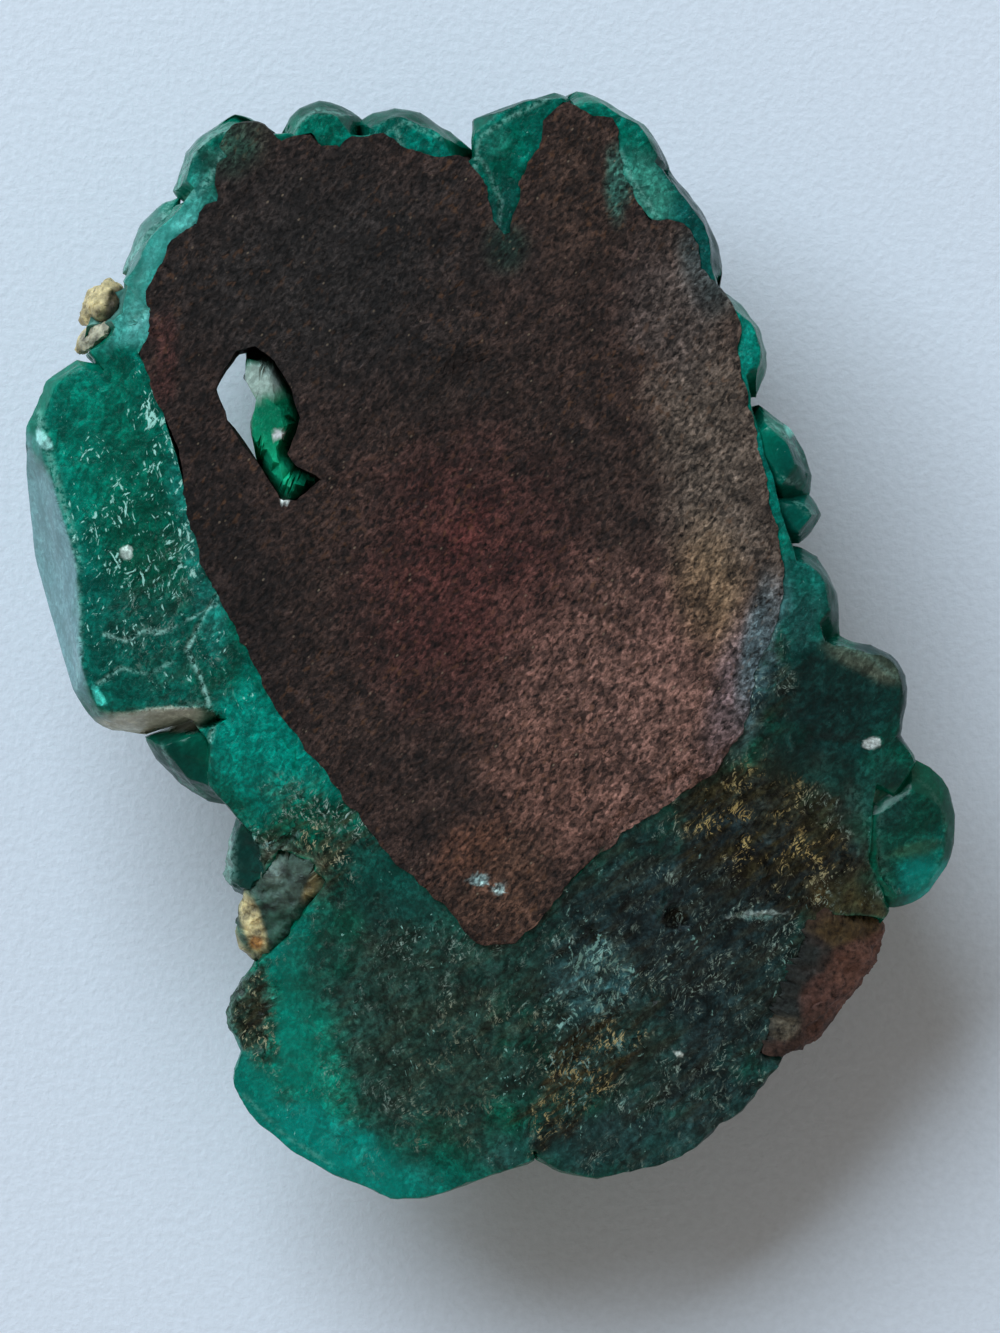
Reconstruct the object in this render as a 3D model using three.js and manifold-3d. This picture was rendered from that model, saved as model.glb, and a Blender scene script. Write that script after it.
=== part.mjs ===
// Rough dioptase: a thumb-sized cluster of emerald-green crystals grown together on brown copper rock.
// Millimetres, +Z up. The piece lies on its crystals with its ground back uppermost: the back was
// ground off in four flat passes, which cut through the brown rock and the crystals around it.
// The origin is the middle of the object's footprint, on the surface that it rests on.
import * as THREE from "three";
import { ConvexGeometry } from "three/addons/geometries/ConvexGeometry.js";
import { mergeVertices } from "three/addons/utils/BufferGeometryUtils.js";
import Module from "manifold-3d";

const wasm = await Module();
wasm.setup();

// Driving dimensions.
const BACK_HEIGHT = 14.0; // the ground back above the resting surface
const ROCK_THICKNESS = 3.2; // brown rock left at the middle of the back
const JOINT_GAP = 0.3; // clearance between two minerals that meet
const CRUST_UNDERSIDE = 7.4; // lowest point of the crust that the crystals grow from
const BLOCK = 90; // side of the blocks that stand for grinding passes

// The grinding passes: where each starts, the way it falls, and its fall per millimetre.
const HEART_TIP = [0.3, -13.0]; // where the two steep passes meet the level one
const PASSES = [
  { at: HEART_TIP, towards: [0, -1], fall: 0 },
  { at: HEART_TIP, towards: [-0.6, -0.8], fall: 0.45 },
  { at: [0.6, -13.3], towards: [0.69, -0.724], fall: 0.42 },
  { at: [-12.4, 2.5], towards: [-0.93, -0.37], fall: 0.14 },
];

// Dioptase's habit: a six-sided prism whose three tip faces stand at 51 degrees over its edges.
const TIP_RISE = Math.tan(THREE.MathUtils.degToRad(51));

// Outline of the brown rock in the ground back, clockwise from the knob at its upper left.
const ROCK_OUTLINE = [
  [-12.0, 22.8], [-11.5, 23.3], [-10.6, 23.2], [-9.7, 22.5], [-8.4, 22.9], [-7.9, 22.3], [-6.9, 22.2],
  [-6.3, 22.7], [-5.2, 22.8], [-4.4, 22.3], [-2.9, 21.8], [-1.4, 21.8], [-0.9, 21.1], [-0.6, 19.8],
  [-0.1, 18.6], [0.4, 18.1], [1.0, 18.5], [1.6, 20.4], [1.9, 21.8], [2.5, 22.4], [2.6, 23.7], [3.2, 24.3],
  [4.1, 23.7], [5.1, 23.5], [5.3, 22.3], [5.5, 21.3], [6.2, 19.9], [6.9, 19.0], [8.3, 18.9], [8.8, 18.0],
  [9.0, 17.0], [10.3, 15.5], [10.8, 14.6], [10.6, 13.2], [11.1, 11.0], [11.7, 8.5], [12.2, 6.0], [12.7, 3.6],
  [12.4, 1.4], [11.4, -1.1], [10.9, -3.6], [9.7, -5.2], [7.6, -6.6], [5.5, -8.1], [3.4, -10.0], [1.6, -12.0],
  [0.7, -13.0], [-0.5, -12.9], [-2.0, -11.3], [-4.3, -9.2], [-6.2, -6.7], [-8.6, -3.7], [-10.0, -1.8],
  [-11.3, 1.0], [-12.6, 3.4], [-13.4, 6.0], [-14.1, 9.0], [-15.1, 12.3], [-15.7, 13.3], [-15.1, 14.1],
  [-15.3, 16.1], [-14.6, 17.2], [-14.2, 18.2], [-13.2, 18.9], [-12.9, 19.7], [-12.1, 19.8], [-12.1, 21.6],
  [-11.3, 22.1],
];

// The hole weathered through the rock, and the narrower shaft that stays open right down to the surface.
const ROCK_HOLE = [
  [-11.6, 13.4], [-12.2, 12.6], [-12.6, 11.7], [-12.1, 10.3], [-11.4, 9.4], [-10.6, 8.3], [-10.1, 7.4],
  [-9.6, 6.5], [-8.8, 6.3], [-8.3, 7.0], [-7.8, 7.6], [-8.8, 8.2], [-9.3, 8.8], [-9.0, 9.6], [-8.7, 10.4],
  [-9.2, 11.8], [-9.9, 13.0], [-10.8, 13.6],
];
const OPEN_SHAFT = [
  [-11.2, 13.6], [-12.6, 13.4], [-13.6, 11.8], [-13.0, 9.6], [-11.6, 7.8], [-10.7, 8.3], [-10.9, 10.2],
  [-10.7, 11.2], [-11.2, 12.1],
];

// Body of intergrown dioptase behind the separate crystals.
const CRUST_OUTLINE = [
  [-18.0, 11.5], [-19.0, 6.0], [-17.6, -1.8], [-13.6, -3.2], [-11.8, -6.2], [-10.6, -9.2], [-10.6, -13.6],
  [-11.0, -16.8], [-10.6, -19.8], [-7.4, -22.8], [-3.6, -24.0], [1.6, -22.8], [5.0, -22.9], [9.0, -21.6],
  [11.4, -18.6], [15.0, -14.6], [16.8, -11.0], [17.2, -8.0], [17.6, -4.4], [17.2, -1.2], [15.0, 0.4],
  [13.4, 4.8], [12.8, 7.0], [11.6, 11.0], [11.0, 13.8], [10.1, 16.2], [9.4, 19.0], [7.6, 21.6], [5.4, 23.6],
  [3.3, 24.4], [1.2, 23.6], [-1.2, 22.0], [-4.0, 23.0], [-8.0, 23.3], [-12.0, 23.0], [-13.8, 20.4],
  [-15.8, 17.2], [-17.0, 14.2],
];
const CRUST_TOP = BACK_HEIGHT + 1;

// Levels of the bowl that undercuts the crust, each with half its width and half its length.
const BOWL = [
  { z: CRUST_TOP, half: [30, 34] },
  { z: 9.2, half: [21.0, 25.0] },
  { z: CRUST_UNDERSIDE, half: [15.0, 18.0] },
];
const BOWL_SIDES = 16;

// Crystals round the rim, clockwise from the lower left. plan is the widest section, at height waist;
// the solid draws in by share towards top, and comes to a three-faced tip below, at foot.
const RIM = [
  {
    plan: [
      [-10.8, -14.0], [-11.4, -14.9], [-12.0, -16.2], [-12.15, -17.3], [-11.4, -18.6], [-9.2, -17.4],
      [-9.2, -14.4],
    ],
    top: 11.2, waist: 8.4, foot: 5.2, share: 0.66,
  },
  {
    plan: [
      [-15.9, -4.0], [-15.3, -5.0], [-14.2, -6.2], [-13.0, -7.0], [-11.7, -7.1], [-11.4, -4.4],
      [-13.0, -3.0],
    ],
    top: 11.8, waist: 8.8, foot: 4.6, share: 0.62,
  },
  {
    plan: [
      [-12.8, -3.4], [-13.1, -5.2], [-12.9, -6.2], [-11.5, -7.4], [-11.2, -8.3], [-10.6, -8.75],
      [-9.6, -8.9], [-7.0, -8.0], [-7.0, -4.0], [-11.0, -2.0],
    ],
    top: 15.0, waist: 11.6, foot: 4.8, share: 0.93,
  },
  {
    plan: [
      [-16.9, 16.2], [-16.3, 17.8], [-15.2, 18.9], [-14.5, 19.9], [-13.3, 20.6], [-12.2, 19.4],
      [-13.8, 15.8], [-15.4, 14.4], [-16.7, 14.9],
    ],
    top: 14.6, waist: 11.8, foot: 5.6, share: 0.94,
  },
  {
    plan: [
      [-18.8, 13.6], [-18.2, 15.4], [-17.3, 16.2], [-16.0, 16.4], [-14.6, 15.4], [-14.2, 12.2],
      [-17.6, 12.2],
    ],
    top: 14.8, waist: 10.8, foot: 5.0, share: 0.86,
  },
  {
    plan: [
      [-16.85, 16.9], [-16.4, 18.4], [-16.0, 19.2], [-15.0, 20.1], [-14.2, 20.4], [-13.8, 18.0],
      [-15.6, 16.4],
    ],
    top: 11.2, waist: 9.6, foot: 6.6, share: 0.6,
  },
  {
    plan: [
      [-14.55, 20.6], [-14.1, 21.5], [-14.0, 22.4], [-13.4, 23.1], [-12.6, 23.7], [-11.7, 24.25],
      [-11.0, 24.1], [-9.8, 23.2], [-10.0, 21.2], [-12.4, 19.6], [-13.8, 20.0],
    ],
    top: 15.6, waist: 9.6, foot: 4.6, share: 0.58,
  },
  {
    plan: [
      [-9.75, 23.1], [-9.3, 24.0], [-8.8, 24.5], [-7.9, 24.8], [-6.9, 24.55], [-6.1, 24.05],
      [-5.6, 22.6], [-7.0, 21.0], [-9.4, 21.4],
    ],
    top: 15.2, waist: 10.6, foot: 5.2, share: 0.5,
  },
  {
    plan: [
      [-6.3, 23.7], [-5.5, 24.25], [-4.5, 24.4], [-3.4, 24.2], [-2.0, 23.4], [-0.9, 22.5],
      [-1.2, 21.0], [-4.0, 20.8], [-6.4, 22.0],
    ],
    top: 15.0, waist: 10.8, foot: 5.0, share: 0.64,
  },
  {
    plan: [
      [-1.0, 23.0], [-1.0, 23.95], [1.0, 24.5], [2.8, 25.2], [3.4, 24.9], [3.4, 22.0], [1.6, 18.4],
      [0.3, 17.8], [-0.6, 19.0], [-0.9, 22.0],
    ],
    top: 14.8, waist: 12.2, foot: 4.4, share: 0.94,
  },
  {
    plan: [
      [3.0, 24.9], [3.7, 25.2], [4.6, 25.0], [5.6, 24.45], [6.8, 23.75], [7.4, 22.9], [8.0, 21.8],
      [7.0, 20.0], [4.0, 21.6],
    ],
    top: 15.6, waist: 10.6, foot: 5.2, share: 0.64,
  },
  {
    plan: [
      [7.9, 21.8], [8.2, 21.15], [9.0, 20.3], [9.7, 19.4], [10.1, 18.3], [10.35, 16.9], [10.3, 16.2],
      [8.6, 15.0], [6.6, 18.0], [6.4, 20.8],
    ],
    top: 15.6, waist: 10.4, foot: 5.0, share: 0.58,
  },
  {
    plan: [
      [10.3, 16.4], [11.2, 15.6], [12.0, 14.5], [12.35, 13.4], [12.3, 12.6], [11.9, 11.3],
      [10.0, 11.4], [9.4, 14.6],
    ],
    top: 14.8, waist: 11.0, foot: 5.0, share: 0.7,
  },
  {
    plan: [
      [11.9, 11.1], [12.4, 10.5], [13.4, 9.95], [14.0, 9.0], [14.5, 7.75], [14.35, 7.0], [13.2, 6.2],
      [10.8, 7.4], [10.8, 10.4],
    ],
    top: 13.8, waist: 10.2, foot: 4.8, share: 0.5,
  },
  {
    plan: [
      [14.2, 7.0], [14.6, 6.6], [14.85, 6.1], [14.4, 5.2], [13.8, 4.6], [12.0, 4.8], [12.0, 7.2],
    ],
    top: 13.2, waist: 10.4, foot: 6.4, share: 0.55,
  },
  {
    plan: [
      [13.8, 4.55], [14.6, 4.2], [15.2, 3.3], [15.55, 2.4], [15.65, 1.4], [15.5, 0.5], [13.6, -0.6],
      [11.8, 2.2], [12.6, 4.6],
    ],
    top: 14.4, waist: 11.0, foot: 5.0, share: 0.62,
  },
  {
    plan: [
      [15.3, 0.55], [17.0, 0.15], [18.3, -0.55], [18.7, -1.2], [18.65, -2.5], [18.4, -4.1],
      [16.0, -6.4], [11.8, -3.4], [12.8, 0.2],
    ],
    top: 14.4, waist: 11.0, foot: 4.2, share: 0.8,
  },
  {
    plan: [
      [18.3, -3.8], [18.95, -4.6], [19.2, -5.2], [18.2, -6.8], [16.2, -5.6],
    ],
    top: 12.6, waist: 10.4, foot: 6.0, share: 0.75,
  },
  {
    plan: [
      [18.9, -5.0], [19.9, -5.35], [20.7, -6.4], [21.05, -7.6], [21.0, -8.8], [20.6, -10.0],
      [19.9, -11.1], [19.1, -11.7], [18.1, -12.0], [16.0, -10.6], [16.0, -6.8],
    ],
    top: 11.0, waist: 8.4, foot: 4.6, share: 0.52,
  },
  {
    plan: [
      [18.0, -12.0], [17.0, -13.6], [12.4, -18.8], [11.9, -20.0], [11.3, -21.1], [10.0, -21.5],
      [9.2, -22.7], [7.6, -23.6], [4.7, -24.15], [2.8, -23.8], [1.9, -23.2], [0.6, -15.0], [9.0, -7.0],
      [16.6, -8.0],
    ],
    top: 16.0, waist: 7.4, foot: 3.0, share: 0.98,
  },
  {
    plan: [
      [1.9, -23.3], [-0.4, -24.0], [-1.6, -24.5], [-3.2, -25.1], [-4.7, -25.1], [-7.0, -24.2],
      [-9.0, -23.1], [-11.0, -21.5], [-11.9, -20.0], [-11.85, -19.2], [-11.2, -17.6], [-9.9, -14.2],
      [-8.6, -11.2], [-6.0, -8.0], [1.0, -12.0],
    ],
    top: 16.0, waist: 7.4, foot: 2.8, share: 0.98,
  },
];
const TIP_LEAN = 0.3; // how far a rim crystal's tip leans outwards, as a share of its half width
const SHOULDER = 0.86; // width of the shoulders above the tip, as a share of the widest section

// The large crystal that lies along the left edge: its ground face, its long prism face below that,
// the points where the prism face turns under, and its foot inside the crust.
const BIG_CRYSTAL = [
  [-18.6, 12.4, 14.9], [-19.5, 11.6, 14.9], [-20.0, 10.2, 14.9], [-19.1, 7.6, 14.9], [-18.0, 3.0, 14.9],
  [-18.0, -1.2, 14.9], [-17.4, -2.6, 14.9], [-13.1, -2.4, 14.9], [-11.4, 3.0, 14.9], [-13.6, 11.4, 14.9],
  [-18.9, 13.1, 11.6], [-20.35, 12.15, 11.6], [-21.2, 10.0, 11.4], [-21.25, 7.6, 10.6], [-20.95, 4.2, 9.8],
  [-19.8, 0.2, 10.0], [-19.1, -1.9, 10.4], [-18.2, -3.4, 10.2], [-17.4, -3.75, 10.0], [-15.7, -3.95, 10.0],
  [-13.0, -3.0, 10.6], [-19.2, 5.8, 5.6], [-18.2, -0.4, 6.0], [-17.8, 10.4, 6.2], [-14.0, -1.6, 6.0],
  [-13.4, 9.6, 5.6],
];

// A dark prism that leans out of the hollow at the lower left.
const LEANING_PRISM = [
  [-11.4, -7.3, 11.4], [-11.8, -9.2, 11.0], [-11.8, -10.6, 10.8], [-10.6, -11.2, 11.0], [-9.4, -9.6, 12.0],
  [-11.8, -7.7, 9.6], [-12.15, -9.2, 9.2], [-12.25, -10.4, 8.8], [-11.8, -11.2, 8.6], [-11.0, -11.5, 8.8],
  [-9.8, -10.8, 7.0], [-10.6, -8.4, 6.4],
];

// Crystals that grow into the hole under the rock, each with its root, its tip and its width.
const HOLE_CRYSTALS = [
  { root: [-8.2, 12.6, 7.2], tip: [-11.3, 12.3, 9.8], width: 2.4, roll: 10 },
  { root: [-7.8, 10.6, 7.0], tip: [-10.9, 10.4, 10.0], width: 3.2, roll: 40 },
  { root: [-7.6, 7.6, 6.4], tip: [-10.3, 8.2, 9.9], width: 3.0, roll: 25 },
  { root: [-8.4, 5.6, 6.6], tip: [-9.5, 7.2, 10.1], width: 2.4, roll: 0 },
];

// Crystals on the underside that carry the piece: where each stands, and its width.
const FEET = [
  { at: [-12.6, 4.6], width: 8.2, roll: 12 },
  { at: [6.4, 15.6], width: 7.6, roll: 44 },
  { at: [12.4, -5.4], width: 8.0, roll: 25 },
  { at: [-4.6, -16.4], width: 8.4, roll: 5 },
  { at: [-7.6, 16.6], width: 7.0, roll: 33 },
  { at: [6.8, -14.6], width: 7.2, roll: 50 },
];
const FOOT_ROOT = 8.5; // height of the feet's roots, inside the crust
const FOOT_WEAR = 1.2; // how much of each foot's tip is worn flat

// The rest of the underside: stubby crystals on a spiral, leaning further out towards the rim.
const DRUSE = {
  count: 120,
  step: 2.05, // scale of the spiral
  stretch: 1.2, // length of the spiral over its width
  root: 9.4,
  width: [5.0, 7.4],
  tip: [0.8, 3.6], // heights of the tips in the middle
  rise: 3.4, // how much higher the tips are at the rim
};
const DRUSE_TILT = 2.6; // the most that a tip strays from over its root, each way
const GOLDEN_ANGLE = Math.PI * (3 - Math.sqrt(5));
const RIM_MARGIN = 2.2; // the druse's roots stay this far inside the rim

// Brown rock that shows again low on the right-hand flank, its face steeper than the ground one.
const FLANK = [
  [14.9, -12.4, 10.6], [14.2, -14.0, 10.3], [13.6, -16.0, 9.9], [12.5, -18.7, 9.2],
  [17.6, -12.75, 8.4], [17.5, -13.6, 8.1], [16.8, -14.8, 7.7], [16.1, -15.7, 7.5], [15.6, -16.6, 7.5],
  [14.6, -17.6, 7.7], [13.3, -18.3, 8.2],
  [15.6, -12.9, 5.8], [13.8, -15.2, 5.6], [13.2, -17.2, 6.2], [15.6, -14.9, 5.6], [16.6, -13.6, 6.2],
];

// Pale calcite: one bead on the upper left edge, a flake under it, and a vein at the lower left.
const CALCITE = {
  calcite_bead: [
    [-18.7, 14.9, 10.6], [-18.3, 16.0, 10.4], [-17.5, 16.6, 10.6], [-16.9, 16.4, 11.2], [-17.2, 15.2, 12.2],
    [-17.9, 15.2, 12.6], [-18.2, 15.5, 12.2], [-17.4, 16.2, 12.4], [-18.2, 14.7, 11.6], [-17.6, 15.4, 9.0],
  ],
  calcite_flake: [
    [-18.85, 13.5, 10.8], [-18.7, 14.2, 11.2], [-18.1, 14.5, 11.8], [-17.5, 14.55, 12.4], [-17.6, 14.2, 12.6],
    [-18.4, 13.7, 12.0], [-18.2, 14.0, 9.8], [-17.8, 14.3, 10.4],
  ],
  calcite_vein: [
    [-10.7, -11.0, 10.9], [-9.7, -9.6, 11.9], [-8.5, -9.9, 12.1], [-8.0, -10.6, 11.8], [-8.6, -11.4, 11.3],
    [-9.9, -13.2, 10.2], [-10.7, -13.9, 9.7], [-11.25, -13.2, 9.8], [-11.2, -11.9, 10.2], [-10.2, -12.6, 8.6],
    [-9.4, -10.8, 9.2],
  ],
};

// A small seeded generator, so that the druse is the same each time.
function seededRandom(seed) {
  let state = seed;
  return () => {
    state = (state * 1664525 + 1013904223) % 4294967296;
    return state / 4294967296;
  };
}

// The geometry as a manifold-3d solid, with its place applied.
function solidOf(geometry, matrix = new THREE.Matrix4()) {
  const bare = geometry.clone().applyMatrix4(matrix);
  bare.deleteAttribute("normal");
  bare.deleteAttribute("uv");
  const merged = mergeVertices(bare, 1e-4);
  return new wasm.Manifold(
    new wasm.Mesh({
      numProp: 3,
      vertProperties: new Float32Array(merged.attributes.position.array),
      triVerts: new Uint32Array(merged.index.array),
    }),
  );
}

// The solid's largest body as a BufferGeometry.
function geometryOf(solid) {
  const bodies = solid.decompose().sort((a, b) => b.volume() - a.volume());
  const mesh = bodies[0].getMesh();
  return new THREE.BufferGeometry()
    .setAttribute("position", new THREE.BufferAttribute(new Float32Array(mesh.vertProperties), mesh.numProp))
    .setIndex(new THREE.BufferAttribute(new Uint32Array(mesh.triVerts), 1));
}

function union(solids) {
  return solids.reduce((a, b) => a.add(b));
}

function hull(points) {
  return new ConvexGeometry(points.map((p) => new THREE.Vector3(...p)));
}

// The outline moved outwards by a distance, each corner along the mean of its two sides' normals.
function offset(outline, distance) {
  const turn = THREE.ShapeUtils.area(outline.map(([x, y]) => new THREE.Vector2(x, y))) > 0 ? 1 : -1;
  return outline.map(([x, y], i) => {
    const [px, py] = outline[(i + outline.length - 1) % outline.length];
    const [nx, ny] = outline[(i + 1) % outline.length];
    const into = new THREE.Vector2(x - px, y - py).normalize();
    const out = new THREE.Vector2(nx - x, ny - y).normalize();
    const reach = (turn * distance) / (1 + into.dot(out));
    return [x + (into.y + out.y) * reach, y - (into.x + out.x) * reach];
  });
}

// A straight-sided solid of the outline, from low to high.
function slab(outline, low, high, hole) {
  const shape = new THREE.Shape(outline.map(([x, y]) => new THREE.Vector2(x, y)));
  if (hole) shape.holes.push(new THREE.Path(hole.map(([x, y]) => new THREE.Vector2(x, y))));
  const geometry = new THREE.ExtrudeGeometry(shape, { depth: high - low, bevelEnabled: false });
  return solidOf(geometry, new THREE.Matrix4().makeTranslation(0, 0, low));
}

// A block above one grinding pass, to be cut away.
function groundOff({ at, towards, fall }) {
  const tilt = new THREE.Quaternion().setFromUnitVectors(
    new THREE.Vector3(0, 0, 1),
    new THREE.Vector3(towards[0] * fall, towards[1] * fall, 1).normalize(),
  );
  const place = new THREE.Matrix4().compose(
    new THREE.Vector3(at[0], at[1], BACK_HEIGHT),
    tilt,
    new THREE.Vector3(1, 1, 1),
  );
  const block = new THREE.BoxGeometry(BLOCK, BLOCK, BLOCK).translate(0, 0, BLOCK / 2);
  return solidOf(block, place);
}

// A crystal from root to tip: the six-sided prism with its rhombohedral tip, its corners a little uneven.
function crystal(root, tip, width, roll, uneven = () => 0.5) {
  const axis = new THREE.Vector3(...tip).sub(new THREE.Vector3(...root));
  const length = axis.length();
  const radius = width / 2;
  const points = [new THREE.Vector3(0, 0, length)];
  for (let i = 0; i < 6; i++) {
    const angle = (i * Math.PI) / 3;
    const r = radius * (0.86 + 0.28 * uneven());
    const drop = TIP_RISE * radius * (i % 2 ? 0.5 : 1);
    const x = r * Math.cos(angle);
    const y = r * Math.sin(angle);
    points.push(new THREE.Vector3(x, y, Math.max(length - drop, 0.2 * length)));
    points.push(new THREE.Vector3(x, y, 0));
  }
  const up = new THREE.Vector3(0, 0, 1);
  const turn = new THREE.Quaternion().setFromUnitVectors(up, axis.normalize());
  const spin = new THREE.Quaternion().setFromAxisAngle(up, THREE.MathUtils.degToRad(roll));
  const place = new THREE.Matrix4().compose(
    new THREE.Vector3(...root),
    turn.multiply(spin),
    new THREE.Vector3(1, 1, 1),
  );
  return solidOf(new ConvexGeometry(points), place);
}

// One crystal of the rim, from its widest section: it draws in above, and its tip leans down and out.
function rimCrystal({ plan, top, waist, foot, share }) {
  const corners = plan.map(([x, y]) => new THREE.Vector2(x, y));
  const middle = corners.reduce((sum, p) => sum.add(p), new THREE.Vector2()).divideScalar(corners.length);
  const half = Math.sqrt(Math.abs(THREE.ShapeUtils.area(corners)) / Math.PI);
  const tip = middle.clone().addScaledVector(middle.clone().normalize(), TIP_LEAN * half);
  const rise = Math.min(TIP_RISE * SHOULDER * half, 0.9 * (waist - foot));
  const points = [[tip.x, tip.y, foot]];
  corners.forEach((corner, i) => {
    points.push([corner.x, corner.y, waist]);
    const upper = i % 2 === 0;
    const drawn = middle.clone().lerp(corner, upper ? share : SHOULDER);
    points.push([drawn.x, drawn.y, upper ? top : foot + rise * (i % 4 === 1 ? 0.5 : 1)]);
  });
  return solidOf(hull(points));
}

function bowl() {
  const points = [];
  for (const { z, half } of BOWL)
    for (let i = 0; i < BOWL_SIDES; i++) {
      const angle = ((i + (z % 2) / 2) * 2 * Math.PI) / BOWL_SIDES;
      points.push([half[0] * Math.cos(angle), half[1] * Math.sin(angle), z]);
    }
  return solidOf(hull(points));
}

function isInside(outline, x, y) {
  let inside = false;
  outline.forEach(([ax, ay], i) => {
    const [bx, by] = outline[(i + 1) % outline.length];
    if (ay > y !== by > y && x < ((bx - ax) * (y - ay)) / (by - ay) + ax) inside = !inside;
  });
  return inside;
}

function feet(random) {
  return FEET.map(({ at, width, roll }) =>
    crystal([at[0] * 0.92, at[1] * 0.92, FOOT_ROOT], [at[0], at[1], -FOOT_WEAR], width, roll, random),
  );
}

function druse(random) {
  const inner = offset(CRUST_OUTLINE, -RIM_MARGIN);
  const found = [];
  for (let i = 0; i < DRUSE.count; i++) {
    const reach = DRUSE.step * Math.sqrt(i + 0.5);
    const angle = i * GOLDEN_ANGLE;
    const x = reach * Math.cos(angle) + random() - 0.5;
    const y = reach * DRUSE.stretch * Math.sin(angle) + random() - 0.5;
    const width = THREE.MathUtils.lerp(...DRUSE.width, random() ** 1.5);
    const low = THREE.MathUtils.lerp(...DRUSE.tip, random());
    const roll = random() * 120;
    const tilt = [random() - 0.5, random() - 0.5].map((r) => 2 * r * DRUSE_TILT);
    if (!isInside(inner, x, y) || isInside(OPEN_SHAFT, x, y)) continue;
    const far = Math.min(1, (reach / 21) ** 2);
    const height = low + DRUSE.rise * far;
    const leaning = [x * (1 + 0.12 * far) + tilt[0], y * (1 + 0.1 * far) + tilt[1], height];
    const tip = isInside(inner, leaning[0], leaning[1]) ? leaning : [x, y, height];
    found.push(crystal([x, y, DRUSE.root], tip, width, roll, random));
  }
  return found;
}

// The brown rock: a slab with the weathered hole, ground flat with the crystals round it.
function rock() {
  return slab(ROCK_OUTLINE, BACK_HEIGHT - ROCK_THICKNESS, CRUST_TOP, ROCK_HOLE);
}

function dioptase() {
  const random = seededRandom(7);
  const grown = union([
    slab(CRUST_OUTLINE, CRUST_UNDERSIDE, CRUST_TOP).intersect(bowl()),
    solidOf(hull(BIG_CRYSTAL)),
    solidOf(hull(LEANING_PRISM)),
    ...RIM.map(rimCrystal),
    ...feet(random),
    ...druse(random),
  ]);
  const bed = BACK_HEIGHT - ROCK_THICKNESS - JOINT_GAP;
  const pocket = slab(offset(ROCK_OUTLINE, JOINT_GAP), bed, CRUST_TOP + 2);
  const shaft = slab(OPEN_SHAFT, -5, CRUST_TOP + 2);
  const underRock = slab(offset(ROCK_OUTLINE, 2), -5, bed);
  const rooted = union(HOLE_CRYSTALS.map(({ root, tip, width, roll }) => crystal(root, tip, width, roll)));
  const body = grown.subtract(pocket).subtract(shaft).add(rooted.intersect(underRock));
  return [FLANK, ...Object.values(CALCITE)].reduce((left, points) => left.subtract(seat(points)), body);
}

// Room for a lump of another mineral: the lump grown by the joint gap, open above.
function seat(points) {
  const reach = 1.4 * JOINT_GAP;
  const sideways = [[reach, 0, 0], [-reach, 0, 0], [0, reach, 0], [0, -reach, 0]];
  const steps = [...sideways, [0, 0, CRUST_TOP], [0, 0, -reach]];
  return solidOf(hull(points.flatMap(([x, y, z]) => steps.map(([dx, dy, dz]) => [x + dx, y + dy, z + dz]))));
}

const MATERIALS = {
  dioptase: new THREE.MeshStandardMaterial({ color: 0x0b5a45, roughness: 0.25, metalness: 0 }),
  rock: new THREE.MeshStandardMaterial({ color: 0x3a2a24, roughness: 0.7, metalness: 0 }),
  ironstone: new THREE.MeshStandardMaterial({ color: 0x5a3226, roughness: 0.75, metalness: 0 }),
  calcite: new THREE.MeshStandardMaterial({ color: 0xd8c9a0, roughness: 0.6, metalness: 0 }),
};

// Cuts a solid by the grinding passes and by the surface that the piece rests on.
function ground(solid) {
  const floor = solidOf(new THREE.BoxGeometry(BLOCK, BLOCK, BLOCK).translate(0, 0, -BLOCK / 2));
  return PASSES.reduce((left, pass) => left.subtract(groundOff(pass)), solid.subtract(floor));
}

function node(name, solid, material) {
  const mesh = new THREE.Mesh(geometryOf(ground(solid)), material);
  mesh.name = name;
  return mesh;
}

const specimen = new THREE.Group();
specimen.add(node("dioptase_crystals", dioptase(), MATERIALS.dioptase));
specimen.add(node("host_rock", rock(), MATERIALS.rock));
specimen.add(node("host_rock_flank", solidOf(hull(FLANK)), MATERIALS.ironstone));
for (const [name, points] of Object.entries(CALCITE))
  specimen.add(node(name, solidOf(hull(points)), MATERIALS.calcite));

// The origin goes to the middle of the footprint.
const box = new THREE.Box3().setFromObject(specimen);
const middle = box.getCenter(new THREE.Vector3());
specimen.position.set(-middle.x, -middle.y, 0);

const part = new THREE.Group();
part.add(specimen);
export default part;
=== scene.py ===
"""Dresses a rough dioptase cluster: emerald crystals grown together round brown rock, its back ground flat.

Run as a script it builds every piece, in metres, +Z up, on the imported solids. Sizes are given in
millimetres.
"""

import math

import bmesh
import bpy
import numpy as np
from bpy.props import FloatProperty, FloatVectorProperty, IntProperty, PointerProperty
from bpy.types import Operator, Panel, PropertyGroup
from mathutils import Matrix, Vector, noise
from mathutils.bvhtree import BVHTree


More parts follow.
